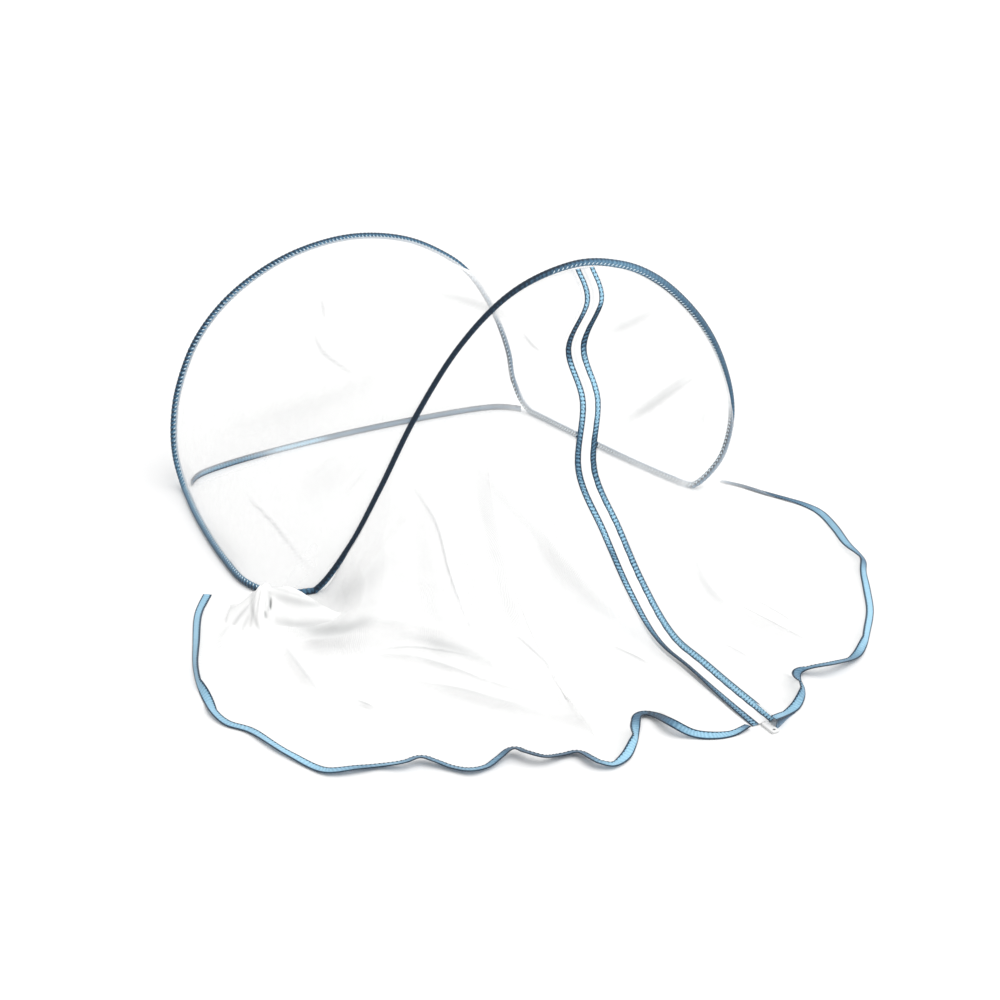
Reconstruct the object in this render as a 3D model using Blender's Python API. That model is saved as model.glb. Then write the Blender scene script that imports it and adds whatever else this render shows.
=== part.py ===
"""Pop-up mosquito net canopy: two sprung hoops that carry a net roof, an end wall and a wide front skirt.

A bound wire ring is bent into a saddle: it rises as a low back hoop and a taller front hoop, and lies on the floor
along both sides. Net fills the ring as a roof, a second net closes the back hoop, and a two-leaf skirt falls from the
front hoop and spreads over the floor to a wavy bound hem. A zip parts the two leaves. Metres, +Z up, +X to the right
and the skirt towards -Y. The tables measure from the middle of the room's base; make() moves every piece so that the
origin is on the floor under the middle of the whole canopy.
"""

import math

import bmesh
import bpy
import numpy as np

# ---- driving sizes ---------------------------------------------------------------------------------------------

GAP = 0.0004                      # clearance between neighbouring pieces
EDGE_GAP = 0.0009                 # between the edge of a net and the tape or bound wire that it is sewn to
NET = 0.0016                      # thickness of the net sheets
FLOOR_CLEAR = 0.0014              # height of the skirt's middle where it lies on the floor

CENTRE = (-0.0577, -0.2541)       # middle of the canopy's plan, measured from the middle of the net room's base

BINDING_RADIUS = 0.0045           # bound wire: net edges, tape and wire together
BINDING_SIDES = 8
NET_TO_WIRE = BINDING_RADIUS + 0.0015     # from the wire's middle to the edge of a net that is sewn to it
WALL_TO_WIRE = BINDING_RADIUS + 0.0008    # the same for the end wall
SKIRT_TO_WIRE = BINDING_RADIUS + 0.0027   # the same for the skirt, which turns a sharper bend
WIRE_REST = BINDING_RADIUS * math.cos(math.pi / BINDING_SIDES)   # wire centre with one facet flat on the floor

BACK_LINE = 0.222                 # Y of the back hoop's feet
BACK_LEAN = math.radians(10)      # the back hoop leans outwards, towards +Y
FRONT_LINE = -0.220               # Y of the front hoop's feet
FRONT_LEAN = math.radians(14)     # the front hoop leans towards the skirt

TAPE_WIDTH = 0.011                # hem tape
ZIP_TAPE_WIDTH = 0.0085           # the two tapes beside the zip
TAPE = 0.0018                     # their thickness
ZIP_WIDTH = 0.0135
ZIP = 0.0024
BAND_HEIGHT = 0.010               # base band under the end wall
BAND = 0.0024

# back hoop in its own leaning plane, from the right leg over the top to the left: (across, up)
BACK_HOOP = (
    (0.297, 0.045),
    (0.292, 0.095),
    (0.279, 0.145),
    (0.258, 0.195),
    (0.231, 0.236),
    (0.195, 0.268),
    (0.134, 0.301),
    (0.068, 0.318),
    (0.000, 0.321),
    (-0.075, 0.309),
    (-0.143, 0.284),
    (-0.203, 0.248),
    (-0.252, 0.200),
    (-0.286, 0.141),
    (-0.302, 0.090),
    (-0.307, 0.040),
)

# front hoop in its own leaning plane, from the left foot to the right: (across, up)
FRONT_HOOP = (
    (-0.262, 0.061),
    (-0.226, 0.140),
    (-0.187, 0.236),
    (-0.134, 0.328),
    (-0.068, 0.389),
    (0.015, 0.413),
    (0.090, 0.402),
    (0.156, 0.371),
    (0.222, 0.320),
    (0.278, 0.261),
    (0.322, 0.196),
    (0.350, 0.136),
    (0.359, 0.082),
    (0.350, 0.038),
)

# wire on the floor beside the left end of the net, from back to front: (across, forward)
LEFT_RUN = (
    (-0.315, 0.180),
    (-0.334, 0.100),
    (-0.350, 0.020),
    (-0.364, -0.070),
    (-0.370, -0.150),
    (-0.350, -0.203),
    (-0.308, -0.222),
)

# wire on the floor beside the right end, from front to back: (across, forward)
RIGHT_RUN = (
    (0.318, -0.214),
    (0.309, -0.170),
    (0.303, -0.080),
    (0.301, 0.030),
    (0.300, 0.180),
)

# hem of the left leaf, a row for each turn of its waves: (across, forward, lift of the tape's inner edge)
HEM_LEFT = (
    (-0.427, -0.148, 0.001),
    (-0.458, -0.194, 0.001),
    (-0.489, -0.263, 0.001),
    (-0.515, -0.328, 0.001),
    (-0.532, -0.397, 0.002),
    (-0.533, -0.449, 0.003),
    (-0.516, -0.484, 0.003),
    (-0.503, -0.543, 0.004),
    (-0.487, -0.592, 0.003),
    (-0.452, -0.608, 0.002),
    (-0.421, -0.620, 0.001),
    (-0.404, -0.624, 0.001),
    (-0.389, -0.624, 0.001),
    (-0.382, -0.636, 0.002),
    (-0.372, -0.659, 0.003),
    (-0.358, -0.674, 0.003),
    (-0.338, -0.678, 0.002),
    (-0.317, -0.670, 0.001),
    (-0.299, -0.663, 0.001),
    (-0.294, -0.673, 0.001),
    (-0.281, -0.694, 0.002),
    (-0.261, -0.702, 0.002),
    (-0.247, -0.705, 0.002),
    (-0.244, -0.718, 0.002),
    (-0.241, -0.733, 0.003),
    (-0.230, -0.747, 0.004),
    (-0.208, -0.744, 0.005),
    (-0.184, -0.725, 0.004),
    (-0.162, -0.702, 0.002),
    (-0.145, -0.684, 0.001),
    (-0.137, -0.692, 0.003),
    (-0.134, -0.713, 0.004),
    (-0.129, -0.744, 0.004),
    (-0.113, -0.762, 0.003),
    (-0.089, -0.770, 0.003),
)

# hem of the right leaf from the zip round to the right foot, in the same columns
HEM_RIGHT = (
    (-0.006, -0.770, 0.003),
    (0.010, -0.766, 0.003),
    (0.029, -0.753, 0.003),
    (0.043, -0.738, 0.002),
    (0.054, -0.721, 0.001),
    (0.067, -0.710, 0.001),
    (0.084, -0.709, 0.001),
    (0.110, -0.716, 0.002),
    (0.133, -0.720, 0.002),
    (0.150, -0.719, 0.002),
    (0.169, -0.709, 0.003),
    (0.199, -0.686, 0.003),
    (0.247, -0.646, 0.003),
    (0.289, -0.600, 0.003),
    (0.321, -0.562, 0.002),
    (0.344, -0.539, 0.002),
    (0.357, -0.516, 0.002),
    (0.371, -0.483, 0.003),
    (0.398, -0.433, 0.003),
    (0.417, -0.386, 0.003),
    (0.418, -0.352, 0.002),
    (0.409, -0.320, 0.001),
    (0.398, -0.286, 0.001),
    (0.388, -0.248, 0.001),
    (0.374, -0.217, 0.001),
)

ZIP_TOP = 0.520                   # where the zip leaves the front hoop, as a share of the skirt's upper edge
ZIP_START = 0.0014                # length of the drop that is left free between the hoop's binding and the zip
ZIP_FOOT = (-0.045, -0.768)       # its end at the hem: (across, forward)
DROP_SHARE = 0.38                 # share of the hoop's height that the skirt drops at once
DROP_POWER = 14.0                 # how steeply it does so
DRAPE_POWER = 3.4                 # and how the rest of the drop runs out over the floor
RUNG_POINTS = 400                 # steps in which that drop is worked out
FOLD_POINTS = 24                  # and the crest of each fold
SKIRT_COLUMNS = 17                # points down the skirt
HEM_STEPS = 2                     # points for each row of the hem

# sideways wander of the zip down its length: (share of the way down, across)
ZIP_WANDER = (
    (0.00, 0.000),
    (0.06, 0.011),
    (0.14, -0.019),
    (0.24, -0.006),
    (0.36, -0.026),
    (0.48, -0.014),
    (0.60, -0.013),
    (0.73, -0.016),
    (0.82, -0.007),
    (1.00, 0.000),
)

LEFT_LEAF = -1
RIGHT_LEAF = 1

# main folds of the skirt: (leaf, start round, start down, end round, end down, height, half width)
# "round" runs from 0 at the leaf's first hem row to 1 at its last, "down" from 0 at the hoop to 1 at the hem
SKIRT_FOLDS = (
    (LEFT_LEAF, 0.41, 0.12, 0.54, 0.70, 0.010, 0.020),
    (LEFT_LEAF, 0.66, 0.24, 0.94, 0.65, 0.014, 0.024),
    (LEFT_LEAF, 0.13, 0.53, 0.27, 0.46, 0.010, 0.020),
    (LEFT_LEAF, 0.27, 0.46, 0.56, 0.72, 0.012, 0.020),
    (LEFT_LEAF, 0.14, 0.26, 0.37, 0.19, 0.007, 0.018),
    (LEFT_LEAF, 0.23, 0.57, 0.54, 0.79, 0.006, 0.016),
    (LEFT_LEAF, 0.54, 0.79, 0.93, 0.85, 0.006, 0.016),
    (LEFT_LEAF, 0.27, 0.68, 0.80, 0.94, 0.008, 0.018),
    (RIGHT_LEAF, 0.25, 0.52, 0.33, 0.93, 0.012, 0.022),
    (RIGHT_LEAF, 0.06, 0.13, 0.30, 0.07, 0.007, 0.018),
    (RIGHT_LEAF, 0.09, 0.28, 0.50, 0.13, 0.008, 0.018),
    (RIGHT_LEAF, 0.50, 0.55, 0.56, 0.88, 0.007, 0.018),
)

# base band under the end wall
BAND = 0.0024

# back hoop in its own leaning plane, from the right leg over the top to the left: (across, up)
BACK_HOOP = (
    (0.297, 0.045),
    (0.292, 0.095),
    (0.279, 0.145),
    (0.258, 0.195),
    (0.231, 0.236),
    (0.195, 0.268),
    (0.134, 0.301),
    (0.068, 0.318),
    (0.000, 0.321),
    (-0.075, 0.309),
    (-0.143, 0.284),
    (-0.203, 0.248),
    (-0.252, 0.200),
    (-0.286, 0.141),
    (-0.302, 0.090),
    (-0.307, 0.040),
)

# front hoop in its own leaning plane, from the left foot to the right: (across, up)
FRONT_HOOP = (
    (-0.262, 0.061),
    (-0.226, 0.140),
    (-0.187, 0.236),
    (-0.134, 0.328),
    (-0.068, 0.389),
    (0.015, 0.413),
    (0.090, 0.402),
    (0.156, 0.371),
    (0.222, 0.320),
    (0.278, 0.261),
    (0.322, 0.196),
    (0.350, 0.136),
    (0.359, 0.082),
    (0.350, 0.038),
)

# wire on the floor beside the left end of the net, from back to front: (across, forward)
LEFT_RUN = (
    (-0.315, 0.180),
    (-0.334, 0.100),
    (-0.350, 0.020),
    (-0.364, -0.070),
    (-0.370, -0.150),
    (-0.350, -0.203),
    (-0.308, -0.222),
)

# wire on the floor beside the right end, from front to back: (across, forward)
RIGHT_RUN = (
    (0.318, -0.214),
    (0.309, -0.170),
    (0.303, -0.080),
    (0.301, 0.030),
    (0.300, 0.180),
)

# hem of the left leaf, a row for each turn of its waves: (across, forward, lift of the tape's inner edge)
HEM_LEFT = (
    (-0.427, -0.148, 0.001),
    (-0.458, -0.194, 0.001),
    (-0.489, -0.263, 0.001),
    (-0.515, -0.328, 0.001),
    (-0.532, -0.397, 0.002),
    (-0.533, -0.449, 0.003),
    (-0.516, -0.484, 0.003),
    (-0.503, -0.543, 0.004),
    (-0.487, -0.592, 0.003),
    (-0.452, -0.608, 0.002),
    (-0.421, -0.620, 0.001),
    (-0.404, -0.624, 0.001),
    (-0.389, -0.624, 0.001),
    (-0.382, -0.636, 0.002),
    (-0.372, -0.659, 0.003),
    (-0.358, -0.674, 0.003),
    (-0.338, -0.678, 0.002),
    (-0.317, -0.670, 0.001),
    (-0.299, -0.663, 0.001),
    (-0.294, -0.673, 0.001),
    (-0.281, -0.694, 0.002),
    (-0.261, -0.702, 0.002),
    (-0.247, -0.705, 0.002),
    (-0.244, -0.718, 0.002),
    (-0.241, -0.733, 0.003),
    (-0.230, -0.747, 0.004),
    (-0.208, -0.744, 0.005),
    (-0.184, -0.725, 0.004),
    (-0.162, -0.702, 0.002),
    (-0.145, -0.684, 0.001),
    (-0.137, -0.692, 0.003),
    (-0.134, -0.713, 0.004),
    (-0.129, -0.744, 0.004),
    (-0.113, -0.762, 0.003),
    (-0.089, -0.770, 0.003),
)

# hem of the right leaf from the zip round to the right foot, in the same columns
HEM_RIGHT = (
    (-0.006, -0.770, 0.003),
    (0.010, -0.766, 0.003),
    (0.029, -0.753, 0.003),
    (0.043, -0.738, 0.002),
    (0.054, -0.721, 0.001),
    (0.067, -0.710, 0.001),
    (0.084, -0.709, 0.001),
    (0.110, -0.716, 0.002),
    (0.133, -0.720, 0.002),
    (0.150, -0.719, 0.002),
    (0.169, -0.709, 0.003),
    (0.199, -0.686, 0.003),
    (0.247, -0.646, 0.003),
    (0.289, -0.600, 0.003),
    (0.321, -0.562, 0.002),
    (0.344, -0.539, 0.002),
    (0.357, -0.516, 0.002),
    (0.371, -0.483, 0.003),
    (0.398, -0.433, 0.003),
    (0.417, -0.386, 0.003),
    (0.418, -0.352, 0.002),
    (0.409, -0.320, 0.001),
    (0.398, -0.286, 0.001),
    (0.388, -0.248, 0.001),
    (0.374, -0.217, 0.001),
)

ZIP_TOP = 0.520                   # where the zip leaves the front hoop, as a share of the skirt's upper edge
ZIP_START = 0.0014                # length of the drop that is left free between the hoop's binding and the zip
ZIP_FOOT = (-0.045, -0.768)       # its end at the hem: (across, forward)
DROP_SHARE = 0.38                 # share of the hoop's height that the skirt drops at once
DROP_POWER = 14.0                 # how steeply it does so
DRAPE_POWER = 3.4                 # and how the rest of the drop runs out over the floor
RUNG_POINTS = 400                 # steps in which that drop is worked out
FOLD_POINTS = 24                  # and the crest of each fold
SKIRT_COLUMNS = 17                # points down the skirt
HEM_STEPS = 2                     # points for each row of the hem

# sideways wander of the zip down its length: (share of the way down, across)
ZIP_WANDER = (
    (0.00, 0.000),
    (0.06, 0.011),
    (0.14, -0.019),
    (0.24, -0.006),
    (0.36, -0.026),
    (0.48, -0.014),
    (0.60, -0.013),
    (0.73, -0.016),
    (0.82, -0.007),
    (1.00, 0.000),
)

LEFT_LEAF = -1
RIGHT_LEAF = 1

# main folds of the skirt: (leaf, start round, start down, end round, end down, height, half width)
# "round" runs from 0 at the leaf's first hem row to 1 at its last, "down" from 0 at the hoop to 1 at the hem
SKIRT_FOLDS = (
    (LEFT_LEAF, 0.20, 0.45, 0.24, 0.95, 0.010, 0.020),
    (LEFT_LEAF, 0.30, 0.30, 0.42, 0.90, 0.012, 0.026),
    (LEFT_LEAF, 0.52, 0.35, 0.55, 0.95, 0.010, 0.022),
    (LEFT_LEAF, 0.72, 0.50, 0.78, 0.97, 0.012, 0.020),
    (LEFT_LEAF, 0.87, 0.62, 0.91, 0.97, 0.012, 0.018),
    (RIGHT_LEAF, 0.18, 0.40, 0.22, 0.92, 0.012, 0.024),
    (RIGHT_LEAF, 0.45, 0.45, 0.52, 0.92, 0.012, 0.024),
    (RIGHT_LEAF, 0.62, 0.50, 0.66, 0.90, 0.010, 0.018),
)

# base band under the end wall, bowed outwards between the two wires: (across, forward)
BASE_BAND = (
    (-0.2990, 0.197),
    (-0.263, 0.228),
    (-0.158, 0.249),
    (0.000, 0.258),
    (0.158, 0.252),
    (0.258, 0.236),
    (0.2930, 0.202),
)

WALL_ENDS = 0.015                 # share of the back hoop left free at each end of the end wall
BAND_ENDS = 0.03                  # and of the base band
ROOF_SAG = 0.020                  # how far the roof dips between the hoops
ROOF_CENTRE_SHARE = 0.75          # the roof runs inwards from the wire towards a point above this share of X
ROOF_CENTRE_HEIGHT = 0.30         # and at this height
BEND_HEIGHT = 0.014               # where the roof's corners lie on the bends between hoops and floor runs
RING_STEPS = 16                   # points worked out between two rows of the ring
SKIRT_ROUND_LEFT = 40             # such points by which the skirt runs on round the front left bend
KNOT = (-0.372, -0.252)           # middle of the bunch of net tied beside the front left foot
KNOT_LENGTH = 0.112
KNOT_DEPTH = 0.062
KNOT_HEIGHT = 0.040
KNOT_TURN = math.radians(-30)     # its long way, from +X
KNOT_FLAT = 0.064                 # the skirt is drawn flat to the floor this close to the knot's middle
KNOT_REACH = 0.110                # and hangs freely from this far out
KNOT_RINGS = 15
KNOT_SIDES = 14
SLIDER = (0.010, 0.022, 0.0030)   # zip end tab: width, length, thickness

# ---- materials -------------------------------------------------------------------------------------------------

WHITE_NET = (0.86, 0.88, 0.90)
BLUE_TAPE = (0.27, 0.55, 0.80)
WHITE_ZIP = (0.88, 0.89, 0.90)


def clear_scene():
    for obj in list(bpy.data.objects):
        bpy.data.objects.remove(obj, do_unlink=True)


def material(name, colour, roughness):
    mat = bpy.data.materials.new(name)
    mat.use_nodes = True
    shader = mat.node_tree.nodes["Principled BSDF"]
    shader.inputs["Base Color"].default_value = (*colour, 1.0)
    shader.inputs["Roughness"].default_value = roughness
    shader.inputs["Metallic"].default_value = 0.0
    return mat


# ---- paths -----------------------------------------------------------------------------------------------------

def smooth(rows, steps, closed=False):
    """Points of a curve that passes through every row, with the same number of steps between rows."""
    rows = np.array(rows, dtype=float)
    count = len(rows)
    spans = count if closed else count - 1
    out = []
    for i in range(spans):
        if closed:
            p0, p1, p2, p3 = (rows[(i + k) % count] for k in (-1, 0, 1, 2))
        else:
            p0, p1, p2, p3 = (rows[min(max(i + k, 0), count - 1)] for k in (-1, 0, 1, 2))
        for k in range(steps):
            t = k / steps
            out.append(0.5 * (2 * p1 + (p2 - p0) * t + (2 * p0 - 5 * p1 + 4 * p2 - p3) * t ** 2
                              + (3 * p1 - p0 - 3 * p2 + p3) * t ** 3))
    if not closed:
        out.append(rows[-1])
    return np.array(out)


def lengths(path):
    """Distance along a path, from its first three columns."""
    return np.concatenate([[0.0], np.cumsum(np.linalg.norm(np.diff(path[:, :3], axis=0), axis=1))])


def along(path, share):
    """The points at the given shares of a path's length."""
    run = lengths(path)
    where = np.asarray(share, dtype=float) * run[-1]
    return np.stack([np.interp(where, run, path[:, k]) for k in range(path.shape[1])], axis=-1)


def trimmed(path, cut, count):
    """The path without a short stretch at each end, as evenly spaced points."""
    share = cut / lengths(path)[-1]
    return along(path, np.linspace(share, 1 - share, count))


def unit(v):
    v = np.asarray(v, dtype=float)
    size = np.linalg.norm(v, axis=-1, keepdims=True)
    return v / np.maximum(size, 1e-12)


def tangents(path):
    return unit(np.gradient(path, axis=0))


def ease(x):
    x = np.clip(x, 0.0, 1.0)
    return x * x * (3 - 2 * x)


# ---- the sprung ring -------------------------------------------------------------------------------------------

def back_hoop_rows():
    return [(across, BACK_LINE + up * math.sin(BACK_LEAN), up * math.cos(BACK_LEAN))
            for across, up in BACK_HOOP]


def front_hoop_rows():
    return [(across, FRONT_LINE - up * math.sin(FRONT_LEAN), up * math.cos(FRONT_LEAN))
            for across, up in FRONT_HOOP]


def floor_rows(run):
    return [(across, forward, WIRE_REST) for across, forward in run]


def ring_line():
    """The whole wire as one closed curve, and the index at which each of its four groups of rows starts."""
    groups = [back_hoop_rows(), floor_rows(LEFT_RUN), front_hoop_rows(), floor_rows(RIGHT_RUN)]
    ring = smooth([row for group in groups for row in group], RING_STEPS, closed=True)
    ring[:, 2] = np.maximum(ring[:, 2], WIRE_REST)
    return ring, np.cumsum([0] + [len(group) for group in groups]) * RING_STEPS


def roof_rim(ring):
    """Where the edge of the roof lies: beside the wire, on its inner side in the surface of the saddle."""
    way = unit(np.roll(ring, -1, axis=0) - np.roll(ring, 1, axis=0))
    inward = ring * (ROOF_CENTRE_SHARE, 0.0, 0.0) + (0.0, 0.0, ROOF_CENTRE_HEIGHT) - ring
    inward = inward - way * np.sum(inward * way, axis=1)[:, None]
    return ring + unit(inward) * NET_TO_WIRE


def sections(line, cuts):
    """A closed line from each cut to the next, the cut points shared."""
    around = np.vstack([line, line])
    ends = list(cuts[1:]) + [cuts[0] + len(line)]
    return [around[start:end + 1] for start, end in zip(cuts, ends)]


def bend_cuts(ring, starts, height):
    """Where the wire passes a height on its way to or from the floor at the four bends, from the back right bend."""
    high = ring[:, 2] > height
    cuts = []
    for start, rising in zip(starts[:4], (True, False, True, False)):
        window = np.arange(start - 2 * RING_STEPS, start + 2 * RING_STEPS) % len(ring)
        change = np.nonzero(high[window] != high[np.roll(window, 1)])[0]
        change = [k for k in change if 0 < k and high[window[k]] == rising]
        cuts.append(int(window[change[0]]))
    first = cuts[0]
    return [first] + [cut if cut > first else cut + len(ring) for cut in cuts[1:]]


RING, GROUP_STARTS = ring_line()
HOOP_STARTS = (GROUP_STARTS[0], GROUP_STARTS[1] - RING_STEPS, GROUP_STARTS[2], GROUP_STARTS[3] - RING_STEPS)
WIRES = sections(RING, HOOP_STARTS)                                            # back, left, front, right
RIM = sections(roof_rim(RING), bend_cuts(RING, GROUP_STARTS, BEND_HEIGHT))     # the roof's four edges
SKIRT_EDGE = RING[GROUP_STARTS[2] - SKIRT_ROUND_LEFT:GROUP_STARTS[3]]          # the skirt's upper edge


def clear_of_ring(line):
    """A line that starts at the wire, from where it would no longer touch it."""
    away = np.linalg.norm(line[:, None] - RING[None], axis=-1).min(axis=1)
    near = np.nonzero(away < NET_TO_WIRE)[0]
    return line[near[-1] + 1:] if len(near) else line


def held_off_ring(grid, clear):
    """The points of a net, those nearer than this to the middle of the wire moved straight away from it."""
    flat = grid.reshape(-1, 3)
    apart = np.linalg.norm(flat[:, None] - RING[None], axis=-1)
    nearest = RING[apart.argmin(axis=1)]
    reach = np.maximum(apart.min(axis=1), clear)
    return (nearest + unit(flat - nearest) * reach[:, None]).reshape(grid.shape)


# ---- solids ----------------------------------------------------------------------------------------------------

def make(name, verts, faces, mat, smooth_angle=None):
    mesh = bpy.data.meshes.new(name)
    mesh.from_pydata([(x - CENTRE[0], y - CENTRE[1], z) for x, y, z in verts], [], faces)
    shell = bmesh.new()
    shell.from_mesh(mesh)
    bmesh.ops.recalc_face_normals(shell, faces=shell.faces)
    shell.to_mesh(mesh)
    shell.free()
    obj = bpy.data.objects.new(name, mesh)
    bpy.context.scene.collection.objects.link(obj)
    mesh.materials.append(mat)
    if smooth_angle:
        mesh.shade_smooth()
        mesh.set_sharp_from_angle(angle=math.radians(smooth_angle))
    return obj


def loft(name, rings, mat, smooth_angle=None):
    """A closed solid through rings of points, with a flat cap at each end."""
    count = len(rings[0])
    verts = [v for ring in rings for v in ring]
    faces = []
    for i in range(len(rings) - 1):
        for j in range(count):
            a = i * count + j
            b = i * count + (j + 1) % count
            faces.append((a, b, b + count, a + count))
    faces.append(tuple(range(count - 1, -1, -1)))
    last = (len(rings) - 1) * count
    faces.append(tuple(last + j for j in range(count)))
    return make(name, verts, faces, mat, smooth_angle)


def sheet(name, grid, thickness, mat):
    """A closed sheet of even thickness whose middle passes through a grid of points."""
    rows, cols, _ = grid.shape
    normal = unit(np.cross(np.gradient(grid, axis=0), np.gradient(grid, axis=1)))
    top = (grid + normal * thickness / 2).reshape(-1, 3)
    under = (grid - normal * thickness / 2).reshape(-1, 3)
    verts = np.vstack([top, under])
    n = rows * cols
    faces = []
    for i in range(rows - 1):
        for j in range(cols - 1):
            a = i * cols + j
            faces.append((a, a + cols, a + cols + 1, a + 1))
            faces.append((n + a, n + a + 1, n + a + cols + 1, n + a + cols))
    rim = [j for j in range(cols)]
    rim += [i * cols + cols - 1 for i in range(1, rows)]
    rim += [(rows - 1) * cols + j for j in range(cols - 2, -1, -1)]
    rim += [i * cols for i in range(rows - 2, 0, -1)]
    for k, a in enumerate(rim):
        b = rim[(k + 1) % len(rim)]
        faces.append((a, b, b + n, a + n))
    return make(name, verts, faces, mat, smooth_angle=50)


def carried_frames(way, start_up):
    """Side and up directions along a path that turn no more than the path does."""
    ups = [unit(np.cross(np.cross(way[0], start_up), way[0]))]
    for t in way[1:]:
        up = ups[-1] - t * np.dot(ups[-1], t)
        ups.append(unit(up))
    ups = np.array(ups)
    return np.cross(way, ups), ups


def bound_wire(name, path, count, mat, carried):
    """A stretch of the ring; with carried off, one facet stays flat towards the floor."""
    line = trimmed(np.hstack([path, tangents(path)]), EDGE_GAP / 2, count)
    centres = line[:, :3]
    way = unit(line[:, 3:])
    upright = np.array([0.0, 0.0, 1.0])
    if carried:
        side, up = carried_frames(way, upright)
    else:
        side = unit(np.cross(way, upright))
        up = np.cross(side, way)
    turn = math.tau * (np.arange(BINDING_SIDES) + 0.5) / BINDING_SIDES
    rings = [centre + BINDING_RADIUS * (np.cos(turn)[:, None] * s + np.sin(turn)[:, None] * u)
             for centre, s, u in zip(centres, side, up)]
    return loft(name, rings, mat, smooth_angle=60)


def strip(name, near, far, normal, thickness, mat):
    """A flat tape between two edge lines, with its thickness along the given normals."""
    half = normal * thickness / 2
    rings = [[n + h, f + h, f - h, n - h] for n, f, h in zip(near, far, half)]
    return loft(name, rings, mat)


# ---- roof and end wall -----------------------------------------------------------------------------------------

def roof_grid(rows, cols):
    """The saddle of net that fills the ring: rows run left to right, columns from the back hoop to the front."""
    back, left, front, right = RIM
    back, right = back[::-1], right[::-1]
    t = np.linspace(0, 1, rows)[:, None, None]
    s = np.linspace(0, 1, cols)[None, :, None]
    edges = ((1 - s) * along(back, t[..., 0]) + s * along(front, t[..., 0])
             + (1 - t) * along(left, s[..., 0]) + t * along(right, s[..., 0]))
    ends = ((1 - t) * (1 - s) * back[0] + t * (1 - s) * back[-1] + (1 - t) * s * front[0] + t * s * front[-1])
    turn = math.pi * t[..., 0]
    inward = np.stack([0.5 * np.cos(turn), 0 * turn, -np.sin(turn)], axis=-1)
    dip = ROOF_SAG * np.sin(turn) ** 1.5 * np.sin(math.pi * s[..., 0])
    return held_off_ring(edges - ends + inward * dip[..., None], NET_TO_WIRE)


def band_line(count):
    """The base band's foot, bowed outwards along the floor."""
    return trimmed(smooth([(across, forward, 0.0) for across, forward in BASE_BAND], 8), 0.0, count)


def end_wall_grid(rows, cols):
    """Net inside the back hoop, from the base band up to the bound wire."""
    hoop = along(smooth(back_hoop_rows(), 8)[::-1], np.linspace(WALL_ENDS, 1 - WALL_ENDS, rows))
    plane = np.array([0.0, -math.cos(BACK_LEAN), math.sin(BACK_LEAN)])
    tops = hoop - np.cross(plane, tangents(hoop)) * WALL_TO_WIRE
    feet = along(band_line(rows * 2), np.linspace(BAND_ENDS, 1 - BAND_ENDS, rows)) + np.array([0.0, 0.0, BAND_HEIGHT + 2 * GAP])
    s = np.linspace(0, 1, cols)[None, :, None]
    return feet[:, None] * (1 - s) + tops[:, None] * s


# ---- skirt -----------------------------------------------------------------------------------------------------

def rung(top, hem):
    """One line of the skirt from the hoop to the hem: a steep drop that runs out over the floor."""
    share = np.linspace(0, 1, RUNG_POINTS) ** 1.5
    line = top + (hem - top) * share[:, None]
    from_knot = np.linalg.norm(line[:, :2] - np.array(KNOT), axis=1)
    free = ease((from_knot - KNOT_FLAT) / (KNOT_REACH - KNOT_FLAT))
    fall = DROP_SHARE * (1 - share) ** DROP_POWER + (1 - DROP_SHARE) * (1 - share) ** DRAPE_POWER
    line[:, 2] = FLOOR_CLEAR + (top[2] - FLOOR_CLEAR) * fall * free + (hem[2] - FLOOR_CLEAR) * share ** 6
    return clear_of_ring(line)


def zip_line(cols):
    """Middle of the zip, its sideways direction and the skirt's outward normal; the last point is at the hem."""
    top = along(SKIRT_EDGE, ZIP_TOP)
    foot = np.array([*ZIP_FOOT, FLOOR_CLEAR])
    path = rung(top, foot)
    path = path[lengths(path) > ZIP_START]
    at_tape = 1 - (TAPE_WIDTH + EDGE_GAP) / lengths(path)[-1]
    share = np.append(np.linspace(0, at_tape, cols), 1.0)
    side = unit(np.array([top[1] - foot[1], foot[0] - top[0], 0.0]))
    way = unit(along(path, np.minimum(share + 0.01, 1)) - along(path, np.maximum(share - 0.01, 0)))
    wander = smooth(ZIP_WANDER, 8)
    line = along(path, share) + side * np.interp(share, wander[:, 0], wander[:, 1])[:, None]
    return line, np.tile(side, (len(line), 1)), unit(np.cross(way, side))


def leaf_edge(sign, cols):
    """The edge of a leaf beside the zip; its last point is beside the end of the zip."""
    line, side, _ = zip_line(cols)
    return line + side * sign * (ZIP_WIDTH / 2 + ZIP_TAPE_WIDTH + GAP + EDGE_GAP)


def hem_line(rows, sign, steps):
    """Outer edge of one leaf's hem tape, up to the zip, and the way across the tape to its inner edge."""
    inner, end = leaf_edge(sign, SKIRT_COLUMNS)[-2:]
    beside_zip = (end[0], end[1], 0.0)
    path = smooth(rows + (beside_zip,) if sign < 0 else (beside_zip,) + rows, steps)
    way = tangents(path[:, :2])
    inward = np.stack([-way[:, 1], way[:, 0], np.zeros(len(way))], axis=-1)
    inward[-1 if sign < 0 else 0] = unit((inner - end) * (1, 1, 0))
    slope = np.maximum(path[:, 2:], 0.0) / TAPE_WIDTH
    across = inward * np.sqrt(1 - slope ** 2) + np.array([0.0, 0.0, 1.0]) * slope
    return np.column_stack([path[:, :2], np.full(len(path), TAPE / 2)]), across


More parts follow.
